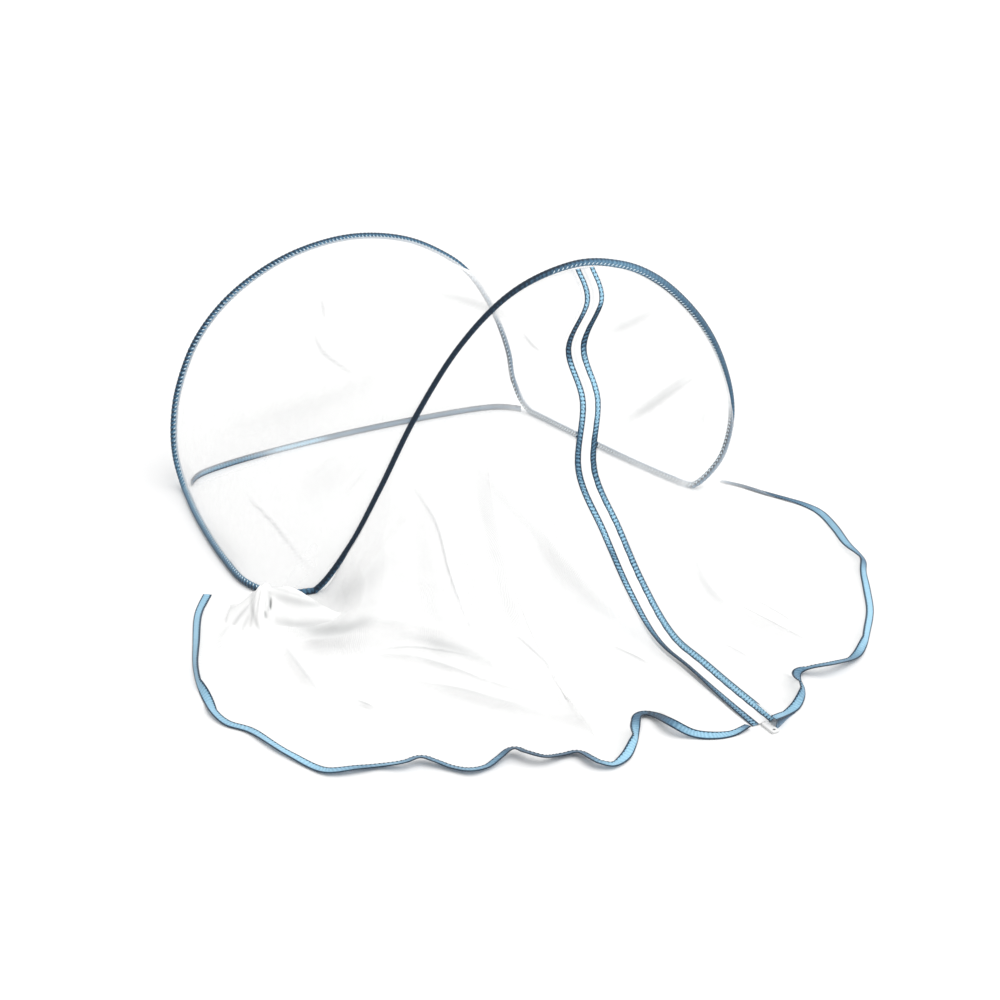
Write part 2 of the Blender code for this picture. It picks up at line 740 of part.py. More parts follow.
def leaf_grid(rows, sign, steps, cols):
    """One leaf of the skirt. Rows follow the hem tape, columns run down from the hoop; sign is -1 on the left."""
    outer, across = hem_line(rows, sign, steps)
    hems = outer + across * (TAPE_WIDTH + EDGE_GAP)
    hems[:, 2] = np.maximum(hems[:, 2], FLOOR_CLEAR)
    share = lengths(hems) / lengths(hems)[-1]
    edge = leaf_edge(sign, cols)[:-1]
    run = lengths(SKIRT_EDGE) / lengths(SKIRT_EDGE)[-1]
    beside_top = run[np.argmin(np.linalg.norm(SKIRT_EDGE - edge[0], axis=1))]
    if sign < 0:
        places = beside_top * share
        toward_zip = share
    else:
        places = beside_top + (1 - beside_top) * share
        toward_zip = 1 - share
    down = np.linspace(0, 1, cols)
    grid = np.array([along(rung(top, hem), down) for top, hem in zip(along(SKIRT_EDGE, places), hems)])
    pull = edge - grid[int(np.argmax(toward_zip))]
    grid = grid + pull[None] * (toward_zip ** 8)[:, None, None]
    return held_off_ring(folded(grid, sign), SKIRT_TO_WIRE)


def folded(grid, sign):
    """The leaf with its main folds raised along its normals; its four edges stay where they are."""
    rows, cols, _ = grid.shape
    normal = unit(np.cross(np.gradient(grid, axis=0), np.gradient(grid, axis=1)))
    normal = normal * np.sign(normal[rows // 2, cols // 2, 2])
    raised = np.zeros((rows, cols))
    for leaf, start_round, start_down, end_round, end_down, height, half in SKIRT_FOLDS:
        if leaf != sign:
            continue
        step = np.linspace(0, 1, FOLD_POINTS)
        i = np.rint((start_round + (end_round - start_round) * step) * (rows - 1)).astype(int)
        j = np.rint((start_down + (end_down - start_down) * step) * (cols - 1)).astype(int)
        gap = np.linalg.norm(grid[:, :, None] - grid[i, j], axis=-1)
        taper = np.sin(math.pi * (gap.argmin(axis=-1) + 0.5) / FOLD_POINTS) ** 0.6
        raised = np.maximum(raised, height * taper * np.exp(-(gap.min(axis=-1) / half) ** 2))
    i = np.linspace(0, 1, rows)[:, None]
    j = np.linspace(0, 1, cols)[None]
    inner = ease(i / 0.06) * ease((1 - i) / 0.06) * ease(j / 0.15) * ease((1 - j) / 0.12)
    return grid + normal * (raised * inner)[..., None]


# ---- pieces ----------------------------------------------------------------------------------------------------

def make_ring(mat):
    """The bound wire, parted into two hoops and two floor runs with a hair's gap between their ends."""
    back, left, front, right = WIRES
    bound_wire("hoop_back", back, 44, mat, carried=True)
    bound_wire("side_wire_left", left, 24, mat, carried=False)
    bound_wire("hoop_front", front, 48, mat, carried=True)
    bound_wire("side_wire_right", right, 24, mat, carried=False)


def make_nets(mat):
    sheet("roof_net", roof_grid(27, 14), NET, mat)
    sheet("end_wall_net", end_wall_grid(17, 6), NET, mat)
    sheet("skirt_left", leaf_grid(HEM_LEFT, LEFT_LEAF, HEM_STEPS, SKIRT_COLUMNS), NET, mat)
    sheet("skirt_right", leaf_grid(HEM_RIGHT, RIGHT_LEAF, HEM_STEPS, SKIRT_COLUMNS), NET, mat)


def make_base_band(mat):
    foot = band_line(22)
    outward = unit(np.cross(tangents(foot), np.array([0.0, 0.0, 1.0])))
    strip("base_band", foot, foot + np.array([0.0, 0.0, BAND_HEIGHT]), outward, BAND, mat)


def make_hem(mat):
    for name, rows, sign in (("hem_tape_left", HEM_LEFT, LEFT_LEAF), ("hem_tape_right", HEM_RIGHT, RIGHT_LEAF)):
        outer, across = hem_line(rows, sign, HEM_STEPS)
        normal = unit(np.cross(tangents(outer), across))
        strip(name, outer, outer + across * TAPE_WIDTH, normal, TAPE, mat)


def make_zip(tape, white):
    line, side, normal = zip_line(SKIRT_COLUMNS)
    half = ZIP_WIDTH / 2
    strip("zip", line - side * half, line + side * half, normal, ZIP, white)
    for name, sign in (("zip_tape_left", -1), ("zip_tape_right", 1)):
        near = line + side * sign * (half + GAP)
        strip(name, near, near + side * sign * ZIP_TAPE_WIDTH, normal * sign, TAPE, tape)
    width, length, thick = SLIDER
    up = np.array([0.0, 0.0, 1.0])
    way = unit((line[-1] - line[-2]) * np.array([1.0, 1.0, 0.0]))
    start = line[-1] * np.array([1.0, 1.0, 0.0]) + way * GAP + up * thick / 2
    path = np.array([start + way * length * f for f in (0.0, 0.12, 0.88, 1.0)])
    halves = np.array([0.6, 1.0, 1.0, 0.6])[:, None] * width / 2
    flat = np.cross(up, way)
    strip("zip_slider", path - flat * halves, path + flat * halves, np.tile(up, (4, 1)), thick, white)


def make_knot(mat):
    """A bunch of net drawn together on the floor, with a fold wrapped round it."""
    long_way = np.array([math.cos(KNOT_TURN), math.sin(KNOT_TURN), 0.0])
    deep = np.array([-long_way[1], long_way[0], 0.0])
    base = FLOOR_CLEAR + NET / 2 + GAP
    rings = []
    for f in np.linspace(0, 1, KNOT_RINGS):
        full = math.sin(math.pi * (0.06 + 0.88 * f)) ** 0.55
        full = full * (1 - 0.22 * math.exp(-((f - 0.36) / 0.09) ** 2))
        centre = np.array([*KNOT, base]) + long_way * KNOT_LENGTH * (f - 0.5)
        ring = []
        for k in range(KNOT_SIDES):
            turn = math.tau * k / KNOT_SIDES
            pleat = 1 + 0.09 * math.cos(5 * turn + 7 * f)
            reach = 0.5 * KNOT_DEPTH * full * pleat
            rise = 0.5 * KNOT_HEIGHT * full * pleat * (1 + math.sin(turn))
            ring.append(centre + deep * reach * math.cos(turn) + np.array([0.0, 0.0, rise]))
        rings.append(ring)
    loft("knot", rings, mat, smooth_angle=60)


def build():
    clear_scene()
    net = material("white_net", WHITE_NET, 0.85)
    tape = material("blue_tape", BLUE_TAPE, 0.7)
    white = material("white_zip", WHITE_ZIP, 0.5)
    make_ring(tape)
    make_nets(net)
    make_base_band(tape)
    make_hem(tape)
    make_zip(tape, white)
    make_knot(net)


if __name__ == "__main__":
    build()
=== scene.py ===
import math

import bpy
import numpy as np
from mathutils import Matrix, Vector
from mathutils.bvhtree import BVHTree
from mathutils.kdtree import KDTree


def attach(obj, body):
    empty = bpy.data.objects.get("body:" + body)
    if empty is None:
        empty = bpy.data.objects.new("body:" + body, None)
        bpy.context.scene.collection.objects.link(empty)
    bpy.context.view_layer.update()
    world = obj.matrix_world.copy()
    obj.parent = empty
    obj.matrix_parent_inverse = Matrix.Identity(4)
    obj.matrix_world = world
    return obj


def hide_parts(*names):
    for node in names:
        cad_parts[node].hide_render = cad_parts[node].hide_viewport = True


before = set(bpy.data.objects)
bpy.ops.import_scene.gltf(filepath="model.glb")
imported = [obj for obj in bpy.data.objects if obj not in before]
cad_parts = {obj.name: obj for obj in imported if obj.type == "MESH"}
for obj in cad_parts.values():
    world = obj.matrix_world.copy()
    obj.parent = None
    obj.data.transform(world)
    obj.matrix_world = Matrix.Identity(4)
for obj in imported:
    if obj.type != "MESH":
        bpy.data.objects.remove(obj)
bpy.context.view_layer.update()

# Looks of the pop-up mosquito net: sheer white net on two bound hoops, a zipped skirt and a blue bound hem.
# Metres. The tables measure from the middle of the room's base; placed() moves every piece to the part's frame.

# ---- sizes and tables, the same as the part's ----

GAP = 0.0004  # air between two pieces
EDGE_GAP = 0.0009  # and between a net's edge and its tape
FLOOR_CLEAR = 0.0014  # height of the middle of a net that lies on the floor
CENTRE = (-0.0577, -0.2541)  # middle of the canopy's plan, measured from the middle of the net room's base
BINDING_RADIUS = 0.0045
BINDING_SIDES = 8
FLAT = (1.0, 1.0, 0.0)  # keeps a way or a place flat on the floor
UPRIGHT = (0.0, 0.0, 1.0)
NET_TO_WIRE = 0.0036  # the net's edge runs into the binding
WALL_TO_WIRE = 0.0040
SKIRT_TO_WIRE = 0.0042
WIRE_REST = BINDING_RADIUS * math.cos(math.pi / BINDING_SIDES)
BACK_LINE = 0.222  # Y of the back hoop's feet
BACK_LEAN = math.radians(10)  # the back hoop leans outwards, towards +Y
FRONT_LINE = -0.220  # Y of the front hoop's feet
FRONT_LEAN = math.radians(-14)  # the front hoop leans towards the skirt, towards -Y

TAPE_WIDTH = 0.011  # hem tape
ZIP_TAPE_WIDTH = 0.0085  # the two tapes beside the zip
TAPE = 0.0018  # their thickness
ZIP_WIDTH = 0.0135
BAND_HEIGHT = 0.010  # base band under the end wall

# back hoop in its own leaning plane, from the right leg over the top to the left: (across, up)
BACK_HOOP = (
    (0.297, 0.045), (0.292, 0.095), (0.279, 0.145), (0.258, 0.195), (0.231, 0.236), (0.195, 0.268), (0.134, 0.301),
    (0.068, 0.318), (0, 0.321), (-0.075, 0.309), (-0.143, 0.284), (-0.203, 0.248), (-0.252, 0.2), (-0.286, 0.141),
    (-0.302, 0.09), (-0.307, 0.04),
)

# front hoop in its own leaning plane, from the left foot to the right: (across, up)
FRONT_HOOP = (
    (-0.262, 0.061), (-0.226, 0.14), (-0.187, 0.236), (-0.134, 0.328), (-0.068, 0.389), (0.015, 0.413),
    (0.09, 0.402), (0.156, 0.371), (0.222, 0.32), (0.278, 0.261), (0.322, 0.196), (0.35, 0.136), (0.359, 0.082),
    (0.35, 0.038),
)

# wire on the floor beside the left end of the net, from back to front: (across, forward)
LEFT_RUN = (
    (-0.315, 0.18), (-0.334, 0.1), (-0.35, 0.02), (-0.364, -0.07), (-0.37, -0.15), (-0.35, -0.203),
    (-0.308, -0.222),
)

# wire on the floor beside the right end, from front to back: (across, forward)
RIGHT_RUN = (
    (0.318, -0.214), (0.309, -0.17), (0.303, -0.08), (0.301, 0.03), (0.3, 0.18),
)

# hem of the left leaf, a row for each turn of its waves: (across, forward, lift of the tape's inner edge)
HEM_LEFT = (
    (-0.427, -0.148, 0.001), (-0.458, -0.194, 0.001), (-0.489, -0.263, 0.001), (-0.515, -0.328, 0.001),
    (-0.532, -0.397, 0.002), (-0.533, -0.449, 0.003), (-0.516, -0.484, 0.003), (-0.503, -0.543, 0.004),
    (-0.487, -0.592, 0.003), (-0.452, -0.608, 0.002), (-0.421, -0.62, 0.001), (-0.404, -0.624, 0.001),
    (-0.389, -0.624, 0.001), (-0.382, -0.636, 0.002), (-0.372, -0.659, 0.003), (-0.358, -0.674, 0.003),
    (-0.338, -0.678, 0.002), (-0.317, -0.67, 0.001), (-0.299, -0.663, 0.001), (-0.294, -0.673, 0.001),
    (-0.281, -0.694, 0.002), (-0.261, -0.702, 0.002), (-0.247, -0.705, 0.002), (-0.244, -0.718, 0.002),
    (-0.241, -0.733, 0.003), (-0.23, -0.747, 0.004), (-0.208, -0.744, 0.005), (-0.184, -0.725, 0.004),
    (-0.162, -0.702, 0.002), (-0.145, -0.684, 0.001), (-0.137, -0.692, 0.003), (-0.134, -0.713, 0.004),
    (-0.129, -0.744, 0.004), (-0.113, -0.762, 0.003), (-0.089, -0.77, 0.003),
)

# hem of the right leaf from the zip round to the right foot, in the same columns
HEM_RIGHT = (
    (-0.006, -0.77, 0.003), (0.01, -0.766, 0.003), (0.029, -0.753, 0.003), (0.043, -0.738, 0.002),
    (0.054, -0.721, 0.001), (0.067, -0.71, 0.001), (0.084, -0.709, 0.001), (0.11, -0.716, 0.002),
    (0.133, -0.72, 0.002), (0.15, -0.719, 0.002), (0.169, -0.709, 0.003), (0.199, -0.686, 0.003),
    (0.247, -0.646, 0.003), (0.289, -0.6, 0.003), (0.321, -0.562, 0.002), (0.344, -0.539, 0.002),
    (0.357, -0.516, 0.002), (0.371, -0.483, 0.003), (0.398, -0.433, 0.003), (0.417, -0.386, 0.003),
    (0.418, -0.352, 0.002), (0.409, -0.32, 0.001), (0.398, -0.286, 0.001), (0.388, -0.248, 0.001),
    (0.374, -0.217, 0.001),
)

ZIP_TOP = 0.520  # where the zip leaves the front hoop, as a share of the skirt's upper edge
ZIP_START = 0.0014  # length of the drop that is left free between the hoop's binding and the zip
ZIP_FOOT = (-0.045, -0.768)  # its end at the hem: (across, forward)
DROP_SHARE = 0.38  # share of the hoop's height that the skirt drops at once
DROP_POWER = 14.0  # how steeply it does so
DRAPE_POWER = 3.4  # and how the rest of the drop runs out over the floor
RUNG_POINTS = 400  # steps in which that drop is worked out
FOLD_POINTS = 40  # and the crest of each fold
SKIRT_COLUMNS = 17  # points down the skirt's solids
RUNG_CLOSE = 1.5  # how much closer together the steps lie at the hoop
HEM_RISE = 6  # how late the drop comes up again to a lifted hem
ZIP_PULL = 8  # how near the zip a leaf is drawn to the zip's edge
FOLD_RIM = (0.06, 0.15, 0.12)  # shares of a leaf without folds: at its sides, top and foot
HEM_STEPS = 12  # points worked out between two rows of a hem

# sideways wander of the zip down its length: (share of the way down, across)
ZIP_WANDER = (
    (0, 0), (0.06, 0.011), (0.14, -0.019), (0.24, -0.006), (0.36, -0.026), (0.48, -0.014), (0.6, -0.013),
    (0.73, -0.016), (0.82, -0.007), (1, 0),
)

LEFT_LEAF = -1
RIGHT_LEAF = 1

# main folds of the skirt, at 0.42 of the part's height, because the photo's own creases come over them:
# (leaf, start round, start down, end round, end down, height, half width)
# "round" runs from 0 at the leaf's first hem row to 1 at its last, "down" from 0 at the hoop to 1 at the hem
SKIRT_FOLDS = (
    (LEFT_LEAF, 0.2, 0.45, 0.24, 0.95, 0.0042, 0.02), (LEFT_LEAF, 0.3, 0.3, 0.42, 0.9, 0.005, 0.026),
    (LEFT_LEAF, 0.52, 0.35, 0.55, 0.95, 0.0042, 0.022), (LEFT_LEAF, 0.72, 0.5, 0.78, 0.97, 0.005, 0.02),
    (LEFT_LEAF, 0.87, 0.62, 0.91, 0.97, 0.005, 0.018), (RIGHT_LEAF, 0.18, 0.4, 0.22, 0.92, 0.005, 0.024),
    (RIGHT_LEAF, 0.45, 0.45, 0.52, 0.92, 0.005, 0.024), (RIGHT_LEAF, 0.62, 0.5, 0.66, 0.9, 0.0042, 0.018),
)

# base band under the end wall, bowed outwards between the two wires: (across, forward)
BASE_BAND = (
    (-0.299, 0.197), (-0.263, 0.228), (-0.158, 0.249), (0, 0.258), (0.158, 0.252), (0.258, 0.236), (0.293, 0.202),
)

WALL_ENDS = 0.015  # share of the back hoop left free at each end of the end wall
BAND_ENDS = 0.03  # and of the base band
ROOF_SAG = 0.020  # how far the roof dips between the hoops
ROOF_CENTRE_SHARE = 0.75  # the roof runs inwards from the wire towards a point above this share of X
ROOF_CENTRE_HEIGHT = 0.30  # and at this height
BEND_HEIGHT = 0.014  # where the roof's corners lie on the bends between hoops and floor runs
RING_STEPS = 24  # points worked out between two rows of the ring
SKIRT_ROUND_LEFT = 60  # such points by which the skirt runs on round the front left bend
KNOT = (-0.372, -0.252)  # middle of the bunch of net tied beside the front left foot
KNOT_TURN = math.radians(-30)  # its long way, from +X
KNOT_FLAT = 0.064  # the skirt is drawn flat to the floor this close to the knot's middle
KNOT_REACH = 0.110  # and hangs freely from this far out
SLIDER = (0.010, 0.022, 0.0030)  # zip end tab: width, length, thickness


# ---- paths, the same as the part's ----

def smooth(rows, steps, closed=False):
    """Points of a curve that passes through every row, with the same number of steps between rows."""
    rows = np.array(rows, dtype=float)
    count = len(rows)
    spans = count if closed else count - 1
    out = []
    for i in range(spans):
        if closed:
            p0, p1, p2, p3 = (rows[(i + k) % count] for k in (-1, 0, 1, 2))
        else:
            p0, p1, p2, p3 = (rows[min(max(i + k, 0), count - 1)] for k in (-1, 0, 1, 2))
        for k in range(steps):
            t = k / steps
            out.append(0.5 * (2 * p1 + (p2 - p0) * t + (2 * p0 - 5 * p1 + 4 * p2 - p3) * t ** 2
                              + (3 * p1 - p0 - 3 * p2 + p3) * t ** 3))
    if not closed:
        out.append(rows[-1])
    return np.array(out)


def lengths(path):
    """Distance along a path, from its first three columns."""
    return np.concatenate([[0.0], np.cumsum(np.linalg.norm(np.diff(path[:, :3], axis=0), axis=1))])


def along(path, share):
    """The points at the given shares of a path's length."""
    run = lengths(path)
    where = np.asarray(share, dtype=float) * run[-1]
    return np.stack([np.interp(where, run, path[:, k]) for k in range(path.shape[1])], axis=-1)


def unit(v):
    v = np.asarray(v, dtype=float)
    size = np.linalg.norm(v, axis=-1, keepdims=True)
    return v / np.maximum(size, 1e-12)


def tangents(path):
    return unit(np.gradient(path, axis=0))


def ease(x):
    x = np.clip(x, 0.0, 1.0)
    return x * x * (3 - 2 * x)


def hoop_rows(hoop, feet, lean):
    """The rows of a hoop, stood up on the line of its feet."""
    return [(across, feet + up * math.sin(lean), up * math.cos(lean)) for across, up in hoop]


def floor_rows(run):
    return [(across, forward, WIRE_REST) for across, forward in run]


def ring_line():
    """The whole wire as one closed curve, and the index at which each of its four groups of rows starts."""
    groups = [hoop_rows(BACK_HOOP, BACK_LINE, BACK_LEAN), floor_rows(LEFT_RUN),
              hoop_rows(FRONT_HOOP, FRONT_LINE, FRONT_LEAN), floor_rows(RIGHT_RUN)]
    ring = smooth([row for group in groups for row in group], RING_STEPS, closed=True)
    ring[:, 2] = np.maximum(ring[:, 2], WIRE_REST)
    return ring, np.cumsum([0] + [len(group) for group in groups]) * RING_STEPS


def roof_rim(ring):
    """Where the edge of the roof lies: beside the wire, on its inner side in the surface of the saddle."""
    way = unit(np.roll(ring, -1, axis=0) - np.roll(ring, 1, axis=0))
    inward = ring * (ROOF_CENTRE_SHARE, 0.0, 0.0) + (0.0, 0.0, ROOF_CENTRE_HEIGHT) - ring
    inward = inward - way * np.sum(inward * way, axis=1)[:, None]
    return ring + unit(inward) * NET_TO_WIRE


def sections(line, cuts):
    """A closed line from each cut to the next, the cut points shared."""
    around = np.vstack([line, line])
    ends = list(cuts[1:]) + [cuts[0] + len(line)]
    return [around[start:end + 1] for start, end in zip(cuts, ends)]


def bend_cuts(ring, starts, height):
    """Where the wire passes a height on its way to or from the floor at the four bends, from the back right bend."""
    high = ring[:, 2] > height
    cuts = []
    for start, rising in zip(starts[:4], (True, False, True, False)):
        window = np.arange(start - 2 * RING_STEPS, start + 2 * RING_STEPS) % len(ring)
        change = np.nonzero(high[window] != high[np.roll(window, 1)])[0]
        change = [k for k in change if 0 < k and high[window[k]] == rising]
        cuts.append(int(window[change[0]]))
    first = cuts[0]
    return [first] + [cut if cut > first else cut + len(ring) for cut in cuts[1:]]


RING, GROUP_STARTS = ring_line()
RIM = sections(roof_rim(RING), bend_cuts(RING, GROUP_STARTS, BEND_HEIGHT))  # the roof's four edges
SKIRT_EDGE = RING[GROUP_STARTS[2] - SKIRT_ROUND_LEFT:GROUP_STARTS[3]]  # the skirt's upper edge


def held_off_ring(grid, clear):
    """The points of a net, those nearer than this to the middle of the wire moved straight away from it."""
    flat = grid.reshape(-1, 3)
    tree = KDTree(len(RING))
    for k, spot in enumerate(RING):
        tree.insert(spot, k)
    tree.balance()
    found = [tree.find(spot) for spot in flat]
    nearest = np.array([spot for spot, _, _ in found])
    reach = np.maximum([gap for _, _, gap in found], clear)
    return (nearest + unit(flat - nearest) * reach[:, None]).reshape(grid.shape)


def clear_of_ring(line):
    """A line that starts at the wire, from where it would no longer touch it."""
    away = np.linalg.norm(line[:, None] - RING[None], axis=-1).min(axis=1)
    near = np.nonzero(away < NET_TO_WIRE)[0]
    return line[near[-1] + 1:] if len(near) else line


def roof_grid(rows, cols):
    """The saddle of net that fills the ring: rows run left to right, columns from the back hoop to the front."""
    back, left, front, right = RIM
    back, right = back[::-1], right[::-1]
    t = np.linspace(0, 1, rows)[:, None, None]
    s = np.linspace(0, 1, cols)[None, :, None]
    edges = ((1 - s) * along(back, t[..., 0]) + s * along(front, t[..., 0])
             + (1 - t) * along(left, s[..., 0]) + t * along(right, s[..., 0]))
    ends = ((1 - t) * (1 - s) * back[0] + t * (1 - s) * back[-1] + (1 - t) * s * front[0] + t * s * front[-1])
    turn = math.pi * t[..., 0]
    inward = np.stack([0.5 * np.cos(turn), 0 * turn, -np.sin(turn)], axis=-1)
    dip = ROOF_SAG * np.sin(turn) ** 1.5 * np.sin(math.pi * s[..., 0])
    return held_off_ring(edges - ends + inward * dip[..., None], NET_TO_WIRE)


def band_line(count):
    """The base band's foot, bowed outwards along the floor."""
    return along(smooth([(across, forward, 0.0) for across, forward in BASE_BAND], 8), np.linspace(0, 1, count))


def end_wall_grid(rows, cols):
    """Net inside the back hoop, from the base band up to the bound wire."""
    hoop = smooth(hoop_rows(BACK_HOOP, BACK_LINE, BACK_LEAN), 8)[::-1]
    hoop = along(hoop, np.linspace(WALL_ENDS, 1 - WALL_ENDS, rows))
    plane = np.array([0.0, -math.cos(BACK_LEAN), math.sin(BACK_LEAN)])
    tops = hoop - np.cross(plane, tangents(hoop)) * WALL_TO_WIRE
    feet = along(band_line(rows * 2), np.linspace(BAND_ENDS, 1 - BAND_ENDS, rows))
    feet = feet + (0.0, 0.0, BAND_HEIGHT + 2 * GAP)
    s = np.linspace(0, 1, cols)[None, :, None]
    return feet[:, None] * (1 - s) + tops[:, None] * s


def rung(top, hem):
    """One line of the skirt from the hoop to the hem: a steep drop that runs out over the floor."""
    share = np.linspace(0, 1, RUNG_POINTS) ** RUNG_CLOSE
    line = top + (hem - top) * share[:, None]
    from_knot = np.linalg.norm(line[:, :2] - np.array(KNOT), axis=1)
    free = ease((from_knot - KNOT_FLAT) / (KNOT_REACH - KNOT_FLAT))
    fall = DROP_SHARE * (1 - share) ** DROP_POWER + (1 - DROP_SHARE) * (1 - share) ** DRAPE_POWER
    line[:, 2] = FLOOR_CLEAR + (top[2] - FLOOR_CLEAR) * fall * free + (hem[2] - FLOOR_CLEAR) * share ** HEM_RISE
    return clear_of_ring(line)


def zip_line(cols):
    """Middle of the zip, its sideways direction and the skirt's outward normal; the last point is at the hem."""
    top = along(SKIRT_EDGE, ZIP_TOP)
    foot = np.array([*ZIP_FOOT, FLOOR_CLEAR])
    path = rung(top, foot)
    path = path[lengths(path) > ZIP_START]
    at_tape = 1 - (TAPE_WIDTH + EDGE_GAP) / lengths(path)[-1]
    share = np.append(np.linspace(0, at_tape, cols), 1.0)
    side = unit(np.array([top[1] - foot[1], foot[0] - top[0], 0.0]))
    way = unit(along(path, np.minimum(share + 0.01, 1)) - along(path, np.maximum(share - 0.01, 0)))
    wander = smooth(ZIP_WANDER, 8)
    line = along(path, share) + side * np.interp(share, wander[:, 0], wander[:, 1])[:, None]
    return line, np.tile(side, (len(line), 1)), unit(np.cross(way, side))


def leaf_edge(sign, cols):
    """The edge of a leaf beside the zip; its last point is beside the end of the zip."""
    line, side, _ = zip_line(cols)
    return line + side * sign * (ZIP_WIDTH / 2 + ZIP_TAPE_WIDTH + GAP + EDGE_GAP)


def hem_line(rows, sign):
    """Outer edge of one leaf's hem tape, up to the zip, and the way across the tape to its inner edge."""
    inner, end = leaf_edge(sign, SKIRT_COLUMNS)[-2:]
    beside_zip = (end[0], end[1], 0.0)
    path = smooth(rows + (beside_zip,) if sign < 0 else (beside_zip,) + rows, HEM_STEPS)
    way = tangents(path[:, :2])
    inward = np.stack([-way[:, 1], way[:, 0], np.zeros(len(way))], axis=-1)
    inward[-1 if sign < 0 else 0] = unit((inner - end) * FLAT)
    slope = np.maximum(path[:, 2:], 0.0) / TAPE_WIDTH
    across = inward * np.sqrt(1 - slope ** 2) + np.array([0.0, 0.0, 1.0]) * slope
    return np.column_stack([path[:, :2], np.full(len(path), TAPE / 2)]), across


def leaf_grid(rows, sign, count, cols):
    """One leaf of the skirt. Rows follow the hem tape, columns run down from the hoop; sign is -1 on the left."""
    outer, across = hem_line(rows, sign)
    path = along(np.hstack([outer, across]), np.linspace(0, 1, count))
    hems = path[:, :3] + unit(path[:, 3:]) * (TAPE_WIDTH + EDGE_GAP)
    hems[:, 2] = np.maximum(hems[:, 2], FLOOR_CLEAR)
    share = lengths(hems) / lengths(hems)[-1]
    edge = leaf_edge(sign, cols)[:-1]
    run = lengths(SKIRT_EDGE) / lengths(SKIRT_EDGE)[-1]
    beside_top = run[np.argmin(np.linalg.norm(SKIRT_EDGE - edge[0], axis=1))]
    places = beside_top * share if sign < 0 else beside_top + (1 - beside_top) * share
    toward_zip = share if sign < 0 else 1 - share
    down = np.linspace(0, 1, cols)
    grid = np.array([along(rung(top, hem), down) for top, hem in zip(along(SKIRT_EDGE, places), hems)])
    pull = edge - grid[int(np.argmax(toward_zip))]
    grid = grid + pull[None] * (toward_zip ** ZIP_PULL)[:, None, None]
    return held_off_ring(folded(grid, sign), SKIRT_TO_WIRE)


def folded(grid, sign):
    """The leaf with its main folds raised along its normals; its four edges stay where they are."""
    rows, cols, _ = grid.shape
    normal = grid_normals(grid)
    normal = normal * np.sign(normal[rows // 2, cols // 2, 2])
    raised = np.zeros((rows, cols))
    for leaf, start_round, start_down, end_round, end_down, height, half in SKIRT_FOLDS:
        if leaf != sign:
            continue
        step = np.linspace(0, 1, FOLD_POINTS)
        i = np.rint((start_round + (end_round - start_round) * step) * (rows - 1)).astype(int)
        j = np.rint((start_down + (end_down - start_down) * step) * (cols - 1)).astype(int)
        gap = np.linalg.norm(grid[:, :, None] - grid[i, j], axis=-1)
        taper = np.sin(math.pi * (gap.argmin(axis=-1) + 0.5) / FOLD_POINTS) ** 0.6
        raised = np.maximum(raised, height * taper * np.exp(-(gap.min(axis=-1) / half) ** 2))
    return grid + normal * (raised * edge_mask(grid, *FOLD_RIM))[..., None]


# ---- camera ----

CAMERA = np.array([-1.055, -1.791, 0.860])  # fitted to the base's four corners in the photo
TARGET = np.array([0.055, -0.097, 0.0])  # what the middle of the photo shows
FRAME_WIDTH = 1.45  # metres across the frame at the target
FRAME_PIXELS = 1000
DISTANCE = float(np.linalg.norm(TARGET - CAMERA))
AHEAD = unit(TARGET - CAMERA)
RIGHT = unit(np.cross(AHEAD, (0.0, 0.0, 1.0)))
ABOVE = np.cross(RIGHT, AHEAD)
FOCAL = FRAME_PIXELS / FRAME_WIDTH * DISTANCE


def sight(px, py):
    """Direction in which the camera sees a pixel of the photo."""
    return unit(AHEAD + RIGHT * (px - FRAME_PIXELS / 2) / FOCAL + ABOVE * (FRAME_PIXELS / 2 - py) / FOCAL)


def pixel(points):
    """Where points show in the photo."""
    away = points - CAMERA
    depth = away @ AHEAD
    return np.stack([FRAME_PIXELS / 2 + FOCAL * (away @ RIGHT) / depth,
                     FRAME_PIXELS / 2 - FOCAL * (away @ ABOVE) / depth], axis=-1)


def added(name, data):
    obj = bpy.data.objects.new(name, data)
    bpy.context.scene.collection.objects.link(obj)
    return obj


def add_camera():
    data = bpy.data.cameras.new("camera")
    data.angle = 2 * math.atan(FRAME_WIDTH / 2 / DISTANCE)
    data.clip_end = 100
    cam = added("camera", data)
    cam.location = placed(CAMERA)
    cam.rotation_euler = Vector(AHEAD).to_track_quat("-Z", "Y").to_euler()
    bpy.context.scene.camera = cam


def placed(points):
    return np.asarray(points, dtype=float) - (*CENTRE, 0.0)


# ---- looks ----

NET_WHITE = (0.93, 0.93, 0.925)
SHADE_GREY = (0.36, 0.37, 0.37)  # painted shade: the grey the net takes in creases, folds and hollows
NET_THREAD = 0.50  # opacity of a thread of the net
NET_HOLE = 0.36  # and of its meshes, too fine to be cut
NET_EDGE_ON = 0.45  # how much denser the net looks where it is seen along its surface
NET_PITCH = 0.0012
NET_PAINTED_GLOW = 0.08  # painted glow: a faint emission standing in for light that the sheer net lets through from behind
# tape blues from light to dark; the attribute shade picks among them, and with it the tapes' painted light and shade
TAPE_LIGHT = (0.40, 0.70, 0.89)
TAPE_MID = (0.075, 0.180, 0.290)
TAPE_DARK = (0.006, 0.018, 0.036)
DYE_SPREAD = 0.12  # how much a tape's tone wanders with its dye
RIB_SPREAD = 0.05  # and from rib to rib
ZIP_WHITE = (0.93, 0.93, 0.93)
TAB_WHITE = (0.90, 0.90, 0.90)
FLOOR_WHITE = (0.95, 0.95, 0.95)
THREAD_BLUE = (0.010, 0.032, 0.060)
THREAD_PALE = (0.66, 0.80, 0.88)

SKY = 0.82  # light from all round
SUN = 1.45  # and from the right
SUN_FROM = (0.52, -0.10, 0.80)  # share of the frame's right, of the depth away from the camera, and of up
SUN_SPREAD = math.radians(60)

